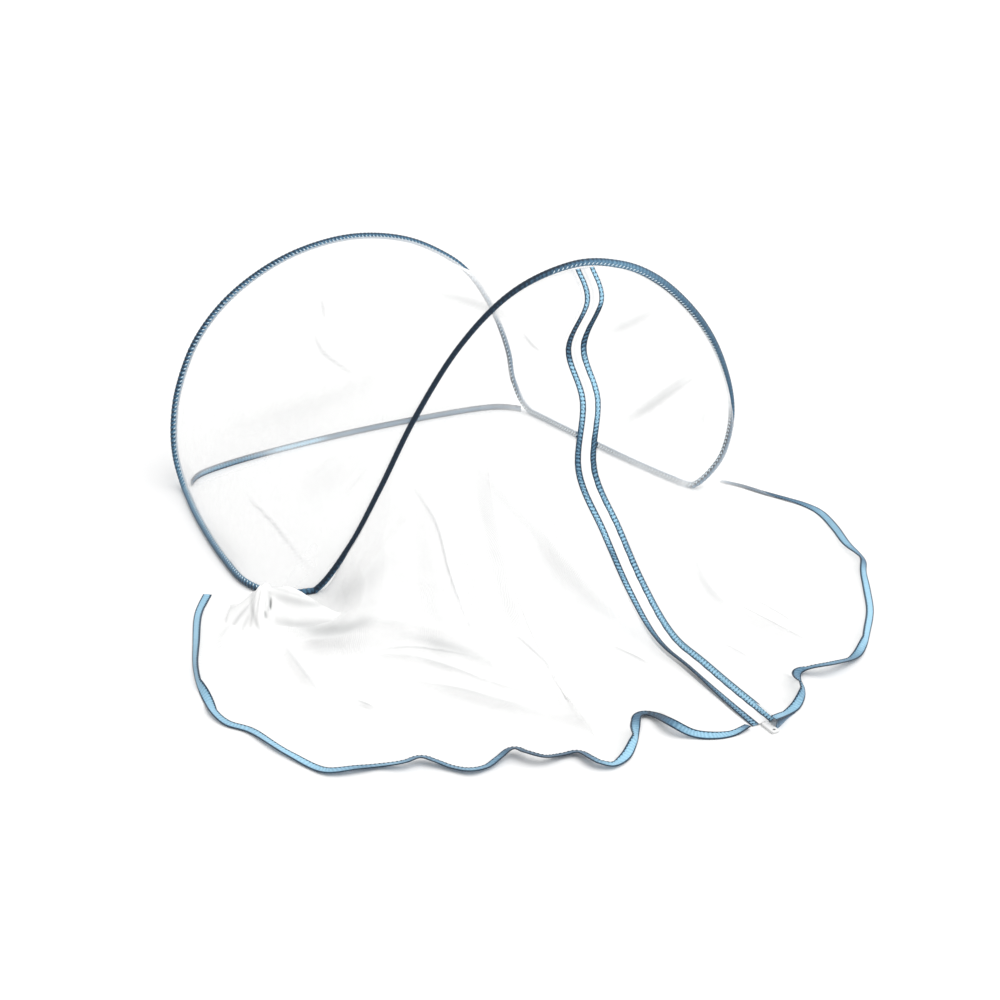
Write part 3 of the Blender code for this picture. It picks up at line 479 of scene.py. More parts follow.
LEFT_STEPS = (430, 210)  # points of a leaf along its hem and down from the hoop
RIGHT_STEPS = (350, 180)
ROOF_STEPS = (300, 210)
WALL_STEPS = (180, 100)
HEM_FOLLOW = 0.030  # how far in the net follows its lifted hem
TUCK = 0.0008  # how far its edge is tucked in under the hem tape
WRINKLE = 0.0016  # height of the small waves all over a net
WRINKLE_LENGTH = 0.13  # and the length of the longest of them
NET_RIM = (0.05, 0.05, 0.05)  # shares of a net that lie still: at its sides, its first and its last columns
ON_FLOOR = 0.0006  # height of the middle of cloth that touches the floor

# hem stretches that stand off the floor: (pixel across, pixel down, reach in pixels, height)
HEM_LIFTS = (
    (352, 770, 34, 0.005), (415, 760, 34, 0.009), (472, 772, 22, 0.005), (528, 755, 34, 0.012),
    (590, 760, 26, 0.008), (642, 718, 14, 0.004), (668, 728, 20, 0.01), (800, 680, 14, 0.005),
    (830, 667, 26, 0.014), (845, 532, 30, 0.006), (777, 722, 11, 0.012),
)

# hem tape as it shows from outside: (pixel across, pixel down, width in pixels, tone from 0 dark to 1 pale, painted
# light and shade included)
HEM_LOOK_LEFT = (
    (203, 595, 8, 0.62), (194, 640, 7.2, 0.68), (194, 672, 5.4, 0.5), (204, 703, 5.8, 0.62), (222, 724, 6.6, 0.62),
    (250, 734, 5.6, 0.64), (275, 748, 5, 0.7), (300, 762, 6.6, 0.72), (325, 774, 6, 0.62), (345, 772, 4.8, 0.55),
    (365, 768, 3, 0.42), (392, 766, 3.2, 0.55), (420, 758, 2.4, 0.35), (452, 769, 2.8, 0.42), (472, 773, 3.6, 0.5),
    (488, 769, 4.6, 0.45), (503, 758, 3.2, 0.4), (513, 750, 2.6, 0.2), (530, 756, 2.4, 0.15), (560, 756, 2.4, 0.22),
    (577, 753, 2.4, 0.2), (600, 766, 3.4, 0.5), (613, 769, 5, 0.66), (627, 762, 8, 0.72), (636, 745, 7, 0.66),
    (641, 728, 3.6, 0.5), (643, 717, 2, 0.25), (648, 715, 5, 0.05), (658, 720, 8, 0.12), (675, 731, 8.5, 0.48),
    (700, 739, 8, 0.66), (725, 739, 7.5, 0.66), (745, 734, 6, 0.6), (756, 727, 4, 0.25),
)
HEM_LOOK_RIGHT = (
    (775, 722, 6, 0.55), (783, 714, 6, 0.62), (792, 714, 6.5, 0.58), (800, 709, 7, 0.62), (804, 699, 5, 0.5),
    (804, 690, 4, 0.4), (800, 680, 3.2, 0.35), (802, 672, 3, 0.35), (812, 668, 3, 0.38), (835, 665, 3.4, 0.42),
    (849, 660, 3.6, 0.36), (860, 658, 4.4, 0.45), (866, 650, 6.6, 0.62), (870, 636, 7.2, 0.7),
    (874, 612, 7.6, 0.72), (870, 590, 7.2, 0.7), (867, 573, 6, 0.62), (866, 562, 4.6, 0.28), (860, 554, 3.6, 0.4),
    (850, 543, 7, 0.58), (838, 526, 8, 0.58), (824, 511, 6.4, 0.56), (806, 500, 4.2, 0.36), (784, 500, 3.2, 0.22),
    (764, 494, 3.6, 0.16), (741, 484, 3.2, 0.12), (722, 480, 2.6, 0.3),
)

# the zip's tapes in the same way; their tone paints in light and shade, dark where a tape turns away from the light
ZIP_LOOK_LEFT = (
    (580, 268, 4.6, 0.72), (589, 303, 4.8, 0.66), (581, 322, 4.2, 0.08), (571, 342, 5, 0.1), (569, 356, 5.4, 0.2),
    (571, 366, 5.4, 0.62), (580, 392, 5.6, 0.74), (586, 416, 5.8, 0.6), (581, 440, 5.8, 0.3), (579, 462, 6, 0.28),
    (590, 505, 6.2, 0.56), (606, 538, 6.2, 0.66), (612, 556, 5.8, 0.36), (630, 590, 5.6, 0.58), (650, 624, 5, 0.45),
    (664, 650, 3, 0.15), (685, 667, 2.4, 0.1), (704, 683, 2.6, 0.2), (725, 701, 4.2, 0.42), (754, 724, 6, 0.45),
)
ZIP_LOOK_RIGHT = (
    (593, 267, 3.6, 0.8), (603, 302, 4.8, 0.7), (601, 312, 5, 0.1), (594, 328, 5.4, 0.05), (585, 345, 6.2, 0.16),
    (584, 356, 6.2, 0.55), (590, 380, 5.6, 0.86), (601, 418, 5.6, 0.66), (598, 440, 6, 0.24), (594, 462, 6, 0.22),
    (608, 508, 6, 0.62), (622, 545, 6, 0.52), (630, 562, 6, 0.48), (653, 602, 6.4, 0.62), (675, 638, 7, 0.64),
    (704, 665, 8, 0.7), (746, 695, 8, 0.74), (770, 717, 7, 0.6),
)

# base band: (pixel across, pixel down, tone, painted light and shade included)
BAND_LOOK = (
    (192, 483, 0.2), (206, 475, 0.5), (240, 463, 0.42), (268, 456, 0.45), (282, 452, 0.85), (312, 445, 0.9),
    (330, 440, 0.35), (400, 426, 0.3), (480, 411, 0.32), (513, 408, 0.2), (530, 413, 0.3), (600, 446, 0.36),
    (678, 481, 0.34),
)

# bound ring: (row of the ring's tables counted from the back hoop's right leg, tone with its painted light and
# shade, depth of puckers, thickness)
RING_LOOK = (
    (0, 0.3, 0.03, 1), (4, 0.34, 0.05, 1), (8, 0.38, 0.05, 1.05), (10, 0.34, 0.06, 1.08), (12, 0.34, 0.07, 1.1),
    (14, 0.38, 0.07, 1.1), (16, 0.46, 0.06, 1.05), (22, 0.3, 0.05, 0.95), (23, 0.08, 0.03, 0.8),
    (26, 0.06, 0.03, 0.76), (27, 0.12, 0.03, 0.84), (28, 0.36, 0.03, 0.96), (29, 0.48, 0.04, 1.1),
    (30, 0.38, 0.03, 1.28), (31.5, 0.26, 0.03, 1.26), (34, 0.26, 0.03, 1), (36, 0.36, 0.05, 1), (42, 0.32, 0.05, 1),
)
DARK_LEG = (20.6, 27.6)  # rows of the front hoop's left leg, painted dark as shade, where no stitch shows

# creases of each net as they show in the photo:
# (height, width left of the line, width right of it, greyness of the shade painted along it, pixels)
CREASES = {
    "roof_net": (
        (0.008, 0.012, 0.05, 0.14, ((418, 364), (370, 374), (330, 396), (270, 418), (212, 436))),
        (0.003, 0.004, 0.008, 0.61, ((313, 330), (322, 350), (335, 362), (362, 380))),
        (0.0025, 0.003, 0.005, 0.65, ((322, 298), (326, 322))),
        (0.006, 0.012, 0.022, 0.14, ((205, 505), (216, 530), (232, 552), (248, 574))),
        (0.002, 0.003, 0.003, 0.65, ((245, 495), (272, 522), (296, 552), (316, 576))),
        (0.0045, 0.01, 0.016, 0.17, ((300, 482), (330, 462), (360, 440))),
        (0.003, 0.005, 0.009, 0.26, ((342, 497), (372, 462))),
        (0.003, 0.006, 0.01, 0.26, ((432, 293), (470, 305), (512, 322))),
    ),
    "skirt_left": (
        (0.008, 0.02, 0.03, 0, ((425, 430), (437, 500), (445, 560), (458, 610), (472, 642), (497, 666))),
        (0.0016, 0.0025, 0.0025, 0.72, ((412, 485), (435, 520), (448, 575), (460, 610), (474, 638), (497, 656))),
        (0.012, 0.05, 0.01, 0, ((480, 455), (512, 500), (548, 540), (585, 582), (618, 618))),
        (0.01, 0.022, 0.014, 0.22, ((300, 642), (340, 640), (380, 626), (430, 634), (470, 650), (500, 670))),
        (0.0018, 0.003, 0.003, 0.72, ((372, 652), (410, 648), (452, 655), (498, 668))),
        (0.008, 0.024, 0.014, 0.14, ((345, 600), (370, 570), (400, 530), (420, 500))),
        (0.004, 0.01, 0.004, 0.58, ((365, 656), (420, 660), (490, 685), (548, 697))),
        (0.007, 0.02, 0.006, 0.51, ((402, 680), (445, 690), (490, 702), (548, 714))),
        (0.004, 0.006, 0.008, 0.43, ((280, 640), (302, 670), (326, 700))),
        (0.0025, 0.003, 0.004, 0.72, ((612, 645), (652, 666))),
        (0.0025, 0.003, 0.004, 0.72, ((355, 700), (376, 708))),
        (0.005, 0.012, 0.01, 0.36, ((236, 622), (226, 634), (217, 648))),
        (0.0025, 0.003, 0.004, 0.58, ((520, 330), (532, 345), (543, 352))),
        (0.004, 0.006, 0.01, 0.23, ((530, 322), (556, 330), (572, 334))),
    ),
    "skirt_right": (
        (0.006, 0.012, 0.018, 0.29, ((604, 335), (630, 322), (656, 306))),
        (0.006, 0.008, 0.01, 0.49, ((620, 420), (660, 392), (700, 364))),
        (0.003, 0.004, 0.004, 0.49, ((640, 412), (672, 390), (700, 372))),
        (0.003, 0.005, 0.006, 0.43, ((698, 432), (706, 404))),
        (0.01, 0.024, 0.01, 0, ((693, 548), (700, 580), (722, 604), (768, 628), (818, 646))),
        (0.0018, 0.0025, 0.003, 0.72, ((722, 600), (752, 618), (784, 634), (815, 646))),
        (0.0025, 0.003, 0.005, 0.58, ((744, 594), (772, 612), (804, 632))),
        (0.0035, 0.006, 0.008, 0.36, ((642, 562), (672, 546))),
        (0.003, 0.004, 0.006, 0.49, ((710, 640), (732, 650), (757, 664))),
        (0.003, 0.004, 0.006, 0.49, ((688, 694), (720, 706), (748, 720))),
        (0.0025, 0.004, 0.006, 0.49, ((738, 556), (760, 551))),
    ),
}

# painted shade: soft grey strokes over the nets, where cloth behind or a broad fold would shade them: (greyness,
# width in pixels, pixels)
PAINTED_SHADE_STROKES = (
    (0.17, 16, ((225, 430), (290, 412), (350, 390), (400, 368))), (0.24, 12, ((210, 520), (226, 548), (246, 572))),
    (0.2, 18, ((300, 500), (335, 476), (372, 452))), (0.34, 14, ((300, 600), (340, 596), (372, 574), (396, 546))),
    (0.41, 9, ((285, 603), (310, 608), (336, 604))), (0.75, 9, ((284, 622), (318, 630), (350, 627), (388, 616))),
    (0.55, 7, ((394, 633), (430, 641), (465, 652), (497, 667))), (0.27, 12, ((420, 600), (445, 625), (470, 640))),
    (0.24, 20, ((470, 470), (500, 520), (540, 565), (580, 600))),
    (0.2, 10, ((402, 678), (450, 690), (500, 704), (560, 716), (620, 716))),
    (0.27, 7, ((232, 625), (224, 640), (217, 652))), (0.27, 7, ((692, 548), (700, 572), (712, 592))),
    (0.35, 1.6, ((544, 696), (580, 699), (612, 692), (655, 677))),
    (0.32, 2.2, ((544, 714), (590, 718), (622, 717))), (0.45, 6, ((606, 333), (632, 322), (658, 308))),
    (0.55, 7, ((620, 426), (655, 402), (702, 366))), (0.4, 4, ((697, 438), (703, 418), (706, 402))),
    (0.45, 7, ((692, 540), (698, 566), (712, 592), (728, 606))), (0.4, 5, ((432, 292), (470, 302), (512, 318))),
    (0.35, 5, ((640, 564), (656, 554), (674, 546))), (0.5, 1.4, ((513, 633), (535, 652), (556, 673))),
    (0.4, 1.3, ((612, 645), (632, 656), (652, 667))), (0.4, 1.3, ((355, 700), (366, 703), (377, 708))),
)
# places where the net lies so close on a tape or hoop that this shows clearly: the same, clearness for greyness
CLEAR_STROKES = (
    (0.95, 7.5, ((190, 484), (206, 476), (240, 463), (270, 456))),
    (0.35, 6, ((330, 441), (400, 426), (480, 411), (513, 407))),
    (0.4, 6, ((520, 409), (560, 427), (600, 446), (640, 464), (678, 481))),
    (0.75, 6, ((497, 322), (507, 345), (513, 372), (518, 404))),
    (0.85, 7, ((734, 405), (731, 425), (722, 450), (706, 475), (688, 493))),
    (0.9, 7, ((722, 480), (741, 485), (764, 494), (784, 500), (806, 500))),
    (0.8, 6, ((240, 575), (232, 568), (228, 560))),
)


# ---- materials ----

def wire(tree, target, inputs):
    """Sets the inputs of a shader node, or links those for which another node's output is given."""
    for key, value in inputs.items():
        if isinstance(value, bpy.types.NodeSocket):
            tree.links.new(value, target.inputs[key])
        else:
            target.inputs[key].default_value = value


def node(tree, kind, inputs=(), **settings):
    made = tree.nodes.new(kind)
    for key, value in settings.items():
        setattr(made, key, value)
    wire(tree, made, dict(inputs))
    return made


def new_material(name, roughness, sheen=0.0):
    mat = bpy.data.materials.new(name)
    mat.use_nodes = True
    shader = mat.node_tree.nodes["Principled BSDF"]
    wire(mat.node_tree, shader, {
        "Roughness": roughness, "Metallic": 0.0, "Sheen Weight": sheen, "Specular IOR Level": 0.2})
    return mat, mat.node_tree, shader


def grained(tree, colour, scale, spread):
    """A colour that varies a little from place to place, and the grain that it follows."""
    where = node(tree, "ShaderNodeTexCoord")
    grain = node(tree, "ShaderNodeTexNoise", {"Scale": scale, "Detail": 3.0, "Vector": where.outputs["Object"]})
    mixed = node(tree, "ShaderNodeMixRGB", {
        "Color1": (*[c * (1 - spread) for c in colour], 1.0),
        "Color2": (*[min(c * (1 + spread), 1.0) for c in colour], 1.0), "Fac": grain.outputs["Fac"]})
    return mixed.outputs["Color"], grain.outputs["Fac"]


def attribute(tree, name):
    return node(tree, "ShaderNodeAttribute", attribute_name=name).outputs["Fac"]


def greyed(tree, colour):
    """The net's colour, greyer by the attribute shade: painted shade where it lies in a crease, fold or hollow."""
    shade = attribute(tree, "shade")
    mixed = node(tree, "ShaderNodeMixRGB", {"Color1": colour, "Color2": (*SHADE_GREY, 1.0), "Fac": shade})
    return mixed.outputs["Color"], shade


def total(tree, first, second, operation="ADD"):
    return node(tree, "ShaderNodeMath", {0: first, 1: second}, operation=operation, use_clamp=True).outputs["Value"]


def bumped(tree, shader, height, strength, distance):
    bump = node(tree, "ShaderNodeBump", {"Strength": strength, "Distance": distance, "Height": height})
    wire(tree, shader, {"Normal": bump.outputs["Normal"]})


def net_material():
    """Sheer white mesh: an even net of threads over half clear meshes, denser along its surface and in creases. The
    attribute shade greys it as painted shade, and a faint emission paints a glow into it.
    """
    mat, tree, shader = new_material("net_cloth", 0.9, 0.1)
    where = node(tree, "ShaderNodeTexCoord")
    hole, thread = ((level,) * 3 + (1.0,) for level in (NET_HOLE, NET_THREAD))
    mesh = node(tree, "ShaderNodeTexBrick", {
        "Scale": 1.0, "Mortar Size": NET_PITCH * 0.2, "Mortar Smooth": 0.4, "Brick Width": NET_PITCH,
        "Row Height": NET_PITCH * 0.8, "Color1": hole, "Color2": hole, "Mortar": thread,
        "Vector": where.outputs["UV"]}, offset=0.5)
    white, _ = grained(tree, NET_WHITE, 11.0, 0.012)
    colour, shade = greyed(tree, white)
    edge_on = node(tree, "ShaderNodeLayerWeight", {"Blend": 0.35})
    denser = total(tree, edge_on.outputs["Facing"], NET_EDGE_ON, "MULTIPLY")
    opacity = total(tree, total(tree, mesh.outputs["Color"], denser), shade)
    left = total(tree, 1.0, attribute(tree, "clear"), "SUBTRACT")
    # the attribute shade greys the net as painted shade; the emission is a painted glow
    wire(tree, shader, {"Base Color": colour, "Alpha": total(tree, opacity, left, "MULTIPLY"),
                        "Emission Color": (1.0, 1.0, 1.0, 1.0), "Emission Strength": NET_PAINTED_GLOW})
    return mat


def plain_material(name, colour, roughness, grain_scale, shaded=False):
    """Stuff of one colour with a fine uneven grain. Shaded stuff is smoother, and greyer by the attribute shade, as
    painted shade.
    """
    mat, tree, shader = new_material(name, roughness)
    tint, grain = grained(tree, colour, grain_scale, 0.02 if shaded else 0.05)
    if shaded:
        tint, _ = greyed(tree, tint)
    wire(tree, shader, {"Base Color": tint})
    bumped(tree, shader, grain, 0.10 if shaded else 0.15, 0.0003)
    return mat


def tape_material(name, rib_pitch):
    """Blue woven tape: fine ribs across it and uneven dye; its attribute shade carries the tape's tone, its painted
    light and shade, and its darker folded edges.
    """
    mat, tree, shader = new_material(name, 0.6, 0.2)
    where = node(tree, "ShaderNodeTexCoord")
    level = attribute(tree, "shade")
    uneven = node(tree, "ShaderNodeTexNoise", {"Scale": 420.0, "Detail": 4.0, "Vector": where.outputs["Object"]})
    ribs = node(tree, "ShaderNodeTexWave", {"Scale": math.tau / rib_pitch / 20.0, "Vector": where.outputs["UV"]},
                bands_direction="X")
    for source, spread in ((uneven, DYE_SPREAD), (ribs, RIB_SPREAD)):
        shift = node(tree, "ShaderNodeMapRange", {
            "To Min": -spread, "To Max": spread, "Value": source.outputs["Fac"]})
        level = total(tree, level, shift.outputs["Result"])
    ramp = node(tree, "ShaderNodeValToRGB", {"Fac": level})
    stops = ramp.color_ramp.elements
    stops[0].position, stops[0].color = 0.05, (*TAPE_DARK, 1.0)
    stops[1].position, stops[1].color = 0.85, (*TAPE_LIGHT, 1.0)
    stops.new(0.38).color = (*TAPE_MID, 1.0)
    wire(tree, shader, {"Base Color": ramp.outputs["Color"]})
    bumped(tree, shader, ribs.outputs["Fac"], 0.3, 0.0002)
    return mat


# ---- meshes ----

def piece(name, verts, faces, mat, replaces=(), uv=None, shade=None, clear=None):
    """A piece of the dressed canopy, on or above the floor, that stands for the named solids."""
    mesh = bpy.data.meshes.new(name)
    verts = np.maximum(placed(verts).reshape(-1, 3), (-np.inf, -np.inf, 0.0))
    mesh.from_pydata(verts.tolist(), [], faces)
    if uv is not None:
        layer = mesh.uv_layers.new(name="cloth")
        corner = np.empty(len(mesh.loops), dtype=np.int32)
        mesh.loops.foreach_get("vertex_index", corner)
        layer.data.foreach_set("uv", np.asarray(uv, dtype=np.float32).reshape(-1, 2)[corner].ravel())
    for kind, values in (("shade", shade), ("clear", clear)):
        if values is not None:
            colour = mesh.color_attributes.new(name=kind, type="FLOAT_COLOR", domain="POINT")
            grey = np.repeat(np.clip(values, 0, 1).reshape(-1, 1), 4, axis=1).astype(np.float32)
            grey[:, 3] = 1.0
            colour.data.foreach_set("color", grey.ravel())
    mesh.materials.append(mat)
    mesh.shade_smooth()
    obj = added(name, mesh)
    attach(obj, "root")
    if replaces:
        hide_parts(*replaces)
    return obj


def grid_faces(rows, cols, wrap=False, closed=False):
    """Quads of a grid of points; wrap joins the last column to the first, closed the last row."""
    i, j = np.meshgrid(np.arange(rows if closed else rows - 1), np.arange(cols if wrap else cols - 1), indexing="ij")
    a = i * cols + j
    b = i * cols + (j + 1) % cols
    count = rows * cols
    return np.stack([a, (a + cols) % count, (b + cols) % count, b], axis=-1).reshape(-1, 4).tolist()


def capped_faces(rows, cols):
    """Quads of a tube of rings and a cap at each end."""
    ends = [list(range(cols - 1, -1, -1)), [(rows - 1) * cols + j for j in range(cols)]]
    return grid_faces(rows, cols, wrap=True) + ends


def cloth_uv(grid):
    """Distance along the rows and along the columns of a grid, for the weave."""
    over = np.pad(np.cumsum(np.linalg.norm(np.diff(grid, axis=0), axis=-1), axis=0), ((1, 0), (0, 0)))
    down = np.pad(np.cumsum(np.linalg.norm(np.diff(grid, axis=1), axis=-1), axis=1), ((0, 0), (1, 0)))
    return np.stack([over, down], axis=-1)


def grid_normals(grid):
    return unit(np.cross(np.gradient(grid, axis=0), np.gradient(grid, axis=1)))


def edge_mask(grid, sides, top, foot):
    """0 on the edges of a net and 1 further in than these shares of it."""
    i = np.linspace(0, 1, len(grid))[:, None]
    j = np.linspace(0, 1, grid.shape[1])[None]
    return ease(i / sides) * ease((1 - i) / sides) * ease(j / top) * ease((1 - j) / foot)


def cast(tree, spots):
    """The points of a surface that show at the given pixels."""
    hits = [tree.ray_cast(Vector(CAMERA), Vector(sight(px, py)))[0] for px, py in spots]
    return np.array([tuple(hit) for hit in hits if hit is not None])


CREASE_POINTS = 90
CREASE_REACH = 2.6  # widths beyond which a crease is left out
CREASE_CREST = 1.4  # how sharp its crest is
CREASE_GREY = 0.0008  # least half width of the shade line painted along it


def creased(grid, normal, name):
    """The height of a net's creases at each of its points, and how grey the shade painted along them makes it."""
    rows, cols, _ = grid.shape
    flat = grid.reshape(-1, 3)
    normals = normal.reshape(-1, 3)
    tree = BVHTree.FromPolygons(flat.tolist(), grid_faces(rows, cols))
    raised = np.zeros(len(flat))
    grey = np.zeros(len(flat))
    for height, left, right, dark, spots in CREASES.get(name, ()):
        line = cast(tree, smooth(spots, 6))
        if len(line) < 3:
            continue
        line = along(line, np.linspace(0, 1, CREASE_POINTS))
        reach = CREASE_REACH * max(left, right)
        low, high = line.min(axis=0) - reach, line.max(axis=0) + reach
        near = np.nonzero(((flat > low) & (flat < high)).all(axis=1))[0]
        gap = flat[near, None] - line[None]
        apart = np.linalg.norm(gap, axis=-1)
        k = apart.argmin(axis=1)
        apart = apart[np.arange(len(near)), k]
        side = np.sum(np.cross(tangents(line)[k], normals[near]) * gap[np.arange(len(near)), k], axis=1)
        width = left + (right - left) * ease(0.5 + side / (0.5 * (left + right)))
        taper = np.sin(math.pi * (k + 0.5) / CREASE_POINTS) ** 0.7
        raised[near] += height * taper * np.exp(-(apart / width) ** CREASE_CREST)
        shadow = 0.5 * min(left, right) + CREASE_GREY
        # painted shade along the crease line
        grey[near] = np.maximum(grey[near], dark * taper * np.exp(-(apart / shadow) ** 2))
    return raised.reshape(rows, cols), grey.reshape(rows, cols)


STROKE_REACH = 2.5  # widths beyond which a stroke is left out


def brushed(points, strokes, fade):
    """How strongly soft strokes, drawn in pixels, cover each point; fade is how much their ends taper."""
    at = pixel(points.reshape(-1, 3))
    out = np.zeros(len(at))
    for strength, width, spots in strokes:
        line = smooth(spots, 4)
        low, high = line.min(axis=0) - STROKE_REACH * width, line.max(axis=0) + STROKE_REACH * width
        near = np.nonzero(((at > low) & (at < high)).all(axis=1))[0]
        gap = np.full(len(near), np.inf)
        share = np.zeros(len(near))
        for k, (first, second) in enumerate(zip(line[:-1], line[1:])):
            step = second - first
            part = np.clip((at[near] - first) @ step / (step @ step), 0, 1)
            apart = np.linalg.norm(at[near] - first - part[:, None] * step, axis=1)
            closer = apart < gap
            gap[closer] = apart[closer]
            share[closer] = (k + part[closer]) / (len(line) - 1)
        taper = np.sin(math.pi * np.clip(share, 0.02, 0.98)) ** fade
        out[near] = np.maximum(out[near], strength * taper * np.exp(-(gap / width) ** 2))
    return out


WAVES = ((1.0, 1.0), (0.5, 0.45), (0.3, 0.22))  # small waves of cloth: shares of their height and length
WAVES_TURN = 2.39996  # from one of them to the next
RUCHE_WAVER = ((1.3, 61.0, 1), (0.9, 143.0, 2), (0.5, 311.0, 0))  # how puckers wander: size, waves a metre, start


def wrinkled(grid, size, height, seed):
    """Small uneven waves of cloth, the same on each run."""
    flat = grid.reshape(-1, 3)
    out = np.zeros(len(flat))
    for k, (share, wide) in enumerate(WAVES):
        turn = WAVES_TURN * (k + seed)
        for m in range(5):
            angle = turn + m * 1.9
            way = np.array([math.cos(angle), math.sin(angle), 0.6 * math.sin(1.7 * angle + m)])
            wave = size * wide * (0.8 + 0.13 * m)
            bend = 0.9 * np.sin(flat @ np.roll(way, 1) * math.tau / (wave * 3.1) + m)
            out += share * np.sin(flat @ way * math.tau / wave + bend * 2.0 + 2.1 * m + seed)
    return (height * out / 4.0).reshape(grid.shape[:2])


def ruche(run, pitch, seed):
    """Phase of the puckers along a tape, a little uneven."""
    phase = math.tau * run / pitch
    for size, wave, start in RUCHE_WAVER:
        phase = phase + size * np.sin(run * wave + start * seed)
    return phase


def look_along(line, look):
    """The columns of a look table after its pixels, along a line."""
    at = pixel(line)
    run = lengths(line)
    places = np.array([run[np.argmin(np.linalg.norm(at - row[:2], axis=1))] for row in look])
    order = np.argsort(places)
    return [np.interp(run, places[order], column) for column in np.array(look)[order, 2:].T]


def evened(values, count):
    """A moving average that keeps the ends."""
    padded = np.concatenate([np.full(count, values[0]), values, np.full(count, values[-1])])
    window = np.ones(2 * count + 1) / (2 * count + 1)
    return np.convolve(padded, window, mode="same")[count:-count]


TURN_LOW = -0.40  # a tape's inner edge dips below its outer edge by no more than this angle
TURN_HIGH = 1.25


def turned(edge, flat, up, wide, width, even):
    """A tape's way across, turned about its edge so that the tape shows as wide as in the photo."""
    away = unit(edge - CAMERA)
    seen = unit(np.cross(tangents(edge), away))
    seen = seen * np.where(np.sum(seen * flat, axis=1) < 0, -1.0, 1.0)[:, None]
    face_on = np.arctan2(np.sum(seen * up, axis=1), np.sum(seen * flat, axis=1))
    depth = (edge - CAMERA) @ AHEAD
    spread = np.arccos(np.clip(wide * depth / FOCAL / width, 0.05, 0.97))
    low, high = face_on - spread, face_on + spread
    angle = np.where(low > TURN_LOW, low, np.where(high < TURN_HIGH, high, TURN_LOW))
    angle = evened(np.clip(angle, TURN_LOW, TURN_HIGH), even)[:, None]
    return unit(flat * np.cos(angle) + up * np.sin(angle))


def lifted(points, height):
    """Points raised and moved towards the camera, so that they show at the same pixel."""
    share = (height / CAMERA[2])[:, None]
    return points + (CAMERA - points) * share


def hem_lift(points):
    at = pixel(points)
    height = np.zeros(len(points))
    for px, py, reach, high in HEM_LIFTS:
        height = np.maximum(height, high * np.exp(-(np.linalg.norm(at - (px, py), axis=1) / reach) ** 2))
    return height


HEM_POINTS_PER_METRE = 900
HEM_EVEN = 22  # points to each side over which the turn of the hem tape is evened out
LIFT_EVEN = 6  # and its lift


def shaped_hem(rows, sign, look):
    """The hem tape as it lies: its outer edge, the way across it and its tone; and the net's edge before that."""
    outer, across = hem_line(rows, sign)
    path = np.hstack([outer, across])
    path = along(path, np.linspace(0, 1, int(lengths(path)[-1] * HEM_POINTS_PER_METRE)))
    outer = path[:, :3]
    flat = unit(path[:, 3:] * FLAT)
    before = outer + unit(path[:, 3:]) * (TAPE_WIDTH + GAP)
    up = np.tile(UPRIGHT, (len(outer), 1))
    wide, tone = look_along(outer, look)
    across = turned(outer, flat, up, wide, TAPE_WIDTH, HEM_EVEN)
    high = np.maximum(hem_lift(outer), TAPE_WIDTH * np.maximum(-across[:, 2], 0.0))
    outer = lifted(outer * FLAT + (0.0, 0.0, ON_FLOOR), evened(high, LIFT_EVEN))
    return outer, across, tone, before


# ---- net sheets ----

def facing(normal, grid, toward):
    """The normals of a net on the side that faces a point."""
    middle = (grid.shape[0] // 2, grid.shape[1] // 2)
    return normal * np.sign(np.dot(normal[middle], np.asarray(toward) - grid[middle]))


def net_sheet(name, grid, toward, seed, sheer, mat):
    normal = facing(grid_normals(grid), grid, toward)
    raised, grey = creased(grid, normal, name)
    lift = (raised + wrinkled(grid, WRINKLE_LENGTH, WRINKLE, seed)) * edge_mask(grid, *NET_RIM)
    shaped = grid + normal * lift[..., None]
    shaped[..., 2] = np.maximum(shaped[..., 2], ON_FLOOR)
    rows, cols, _ = shaped.shape
    points = shaped.reshape(-1, 3)
    # painted shade: the crease lines and the soft grey strokes
    painted_shade = np.maximum(grey.ravel(), brushed(points, PAINTED_SHADE_STROKES, 0.8))
    return piece(name + "_cloth", points, grid_faces(rows, cols), mat, (name,), uv=cloth_uv(shaped),
                 shade=painted_shade, clear=np.maximum(sheer, brushed(points, CLEAR_STROKES, 0.3)))


def with_hem(grid, hem):
    """A leaf whose lower edge follows its hem tape as that lies."""
    outer, across, _, before = hem
    target = outer + across * (TAPE_WIDTH - TUCK)
    moved = along(np.hstack([before, target]), np.linspace(0, 1, len(grid)))
    shift = moved[:, 3:] - moved[:, :3]
    left = np.linalg.norm(grid - grid[:, -1:], axis=-1)
    share = np.exp(-(left / HEM_FOLLOW) ** 2)
    pulled = moved[:, :3] - grid[:, -1]
    return grid + (shift + pulled)[:, None] * share[..., None]


def add_nets(mat, hem_left, hem_right):
    left = with_hem(leaf_grid(HEM_LEFT, LEFT_LEAF, *LEFT_STEPS), hem_left)
    right = with_hem(leaf_grid(HEM_RIGHT, RIGHT_LEAF, *RIGHT_STEPS), hem_right)
    # name, points, a place that its upper side faces, seed of its waves, how clear it is
    nets = (
        ("roof_net", roof_grid(*ROOF_STEPS), (0.0, 0.0, 3.0), 1, 0.30),
        ("end_wall_net", end_wall_grid(*WALL_STEPS), (0.0, 3.0, 0.1), 2, 0.20),
        ("skirt_left", left, (-0.2, -2.0, 3.0), 3, 0.0),
        ("skirt_right", right, (0.3, -2.0, 3.0), 4, 0.0),
    )
    return [net_sheet(*net, mat) for net in nets]


# ---- tapes ----

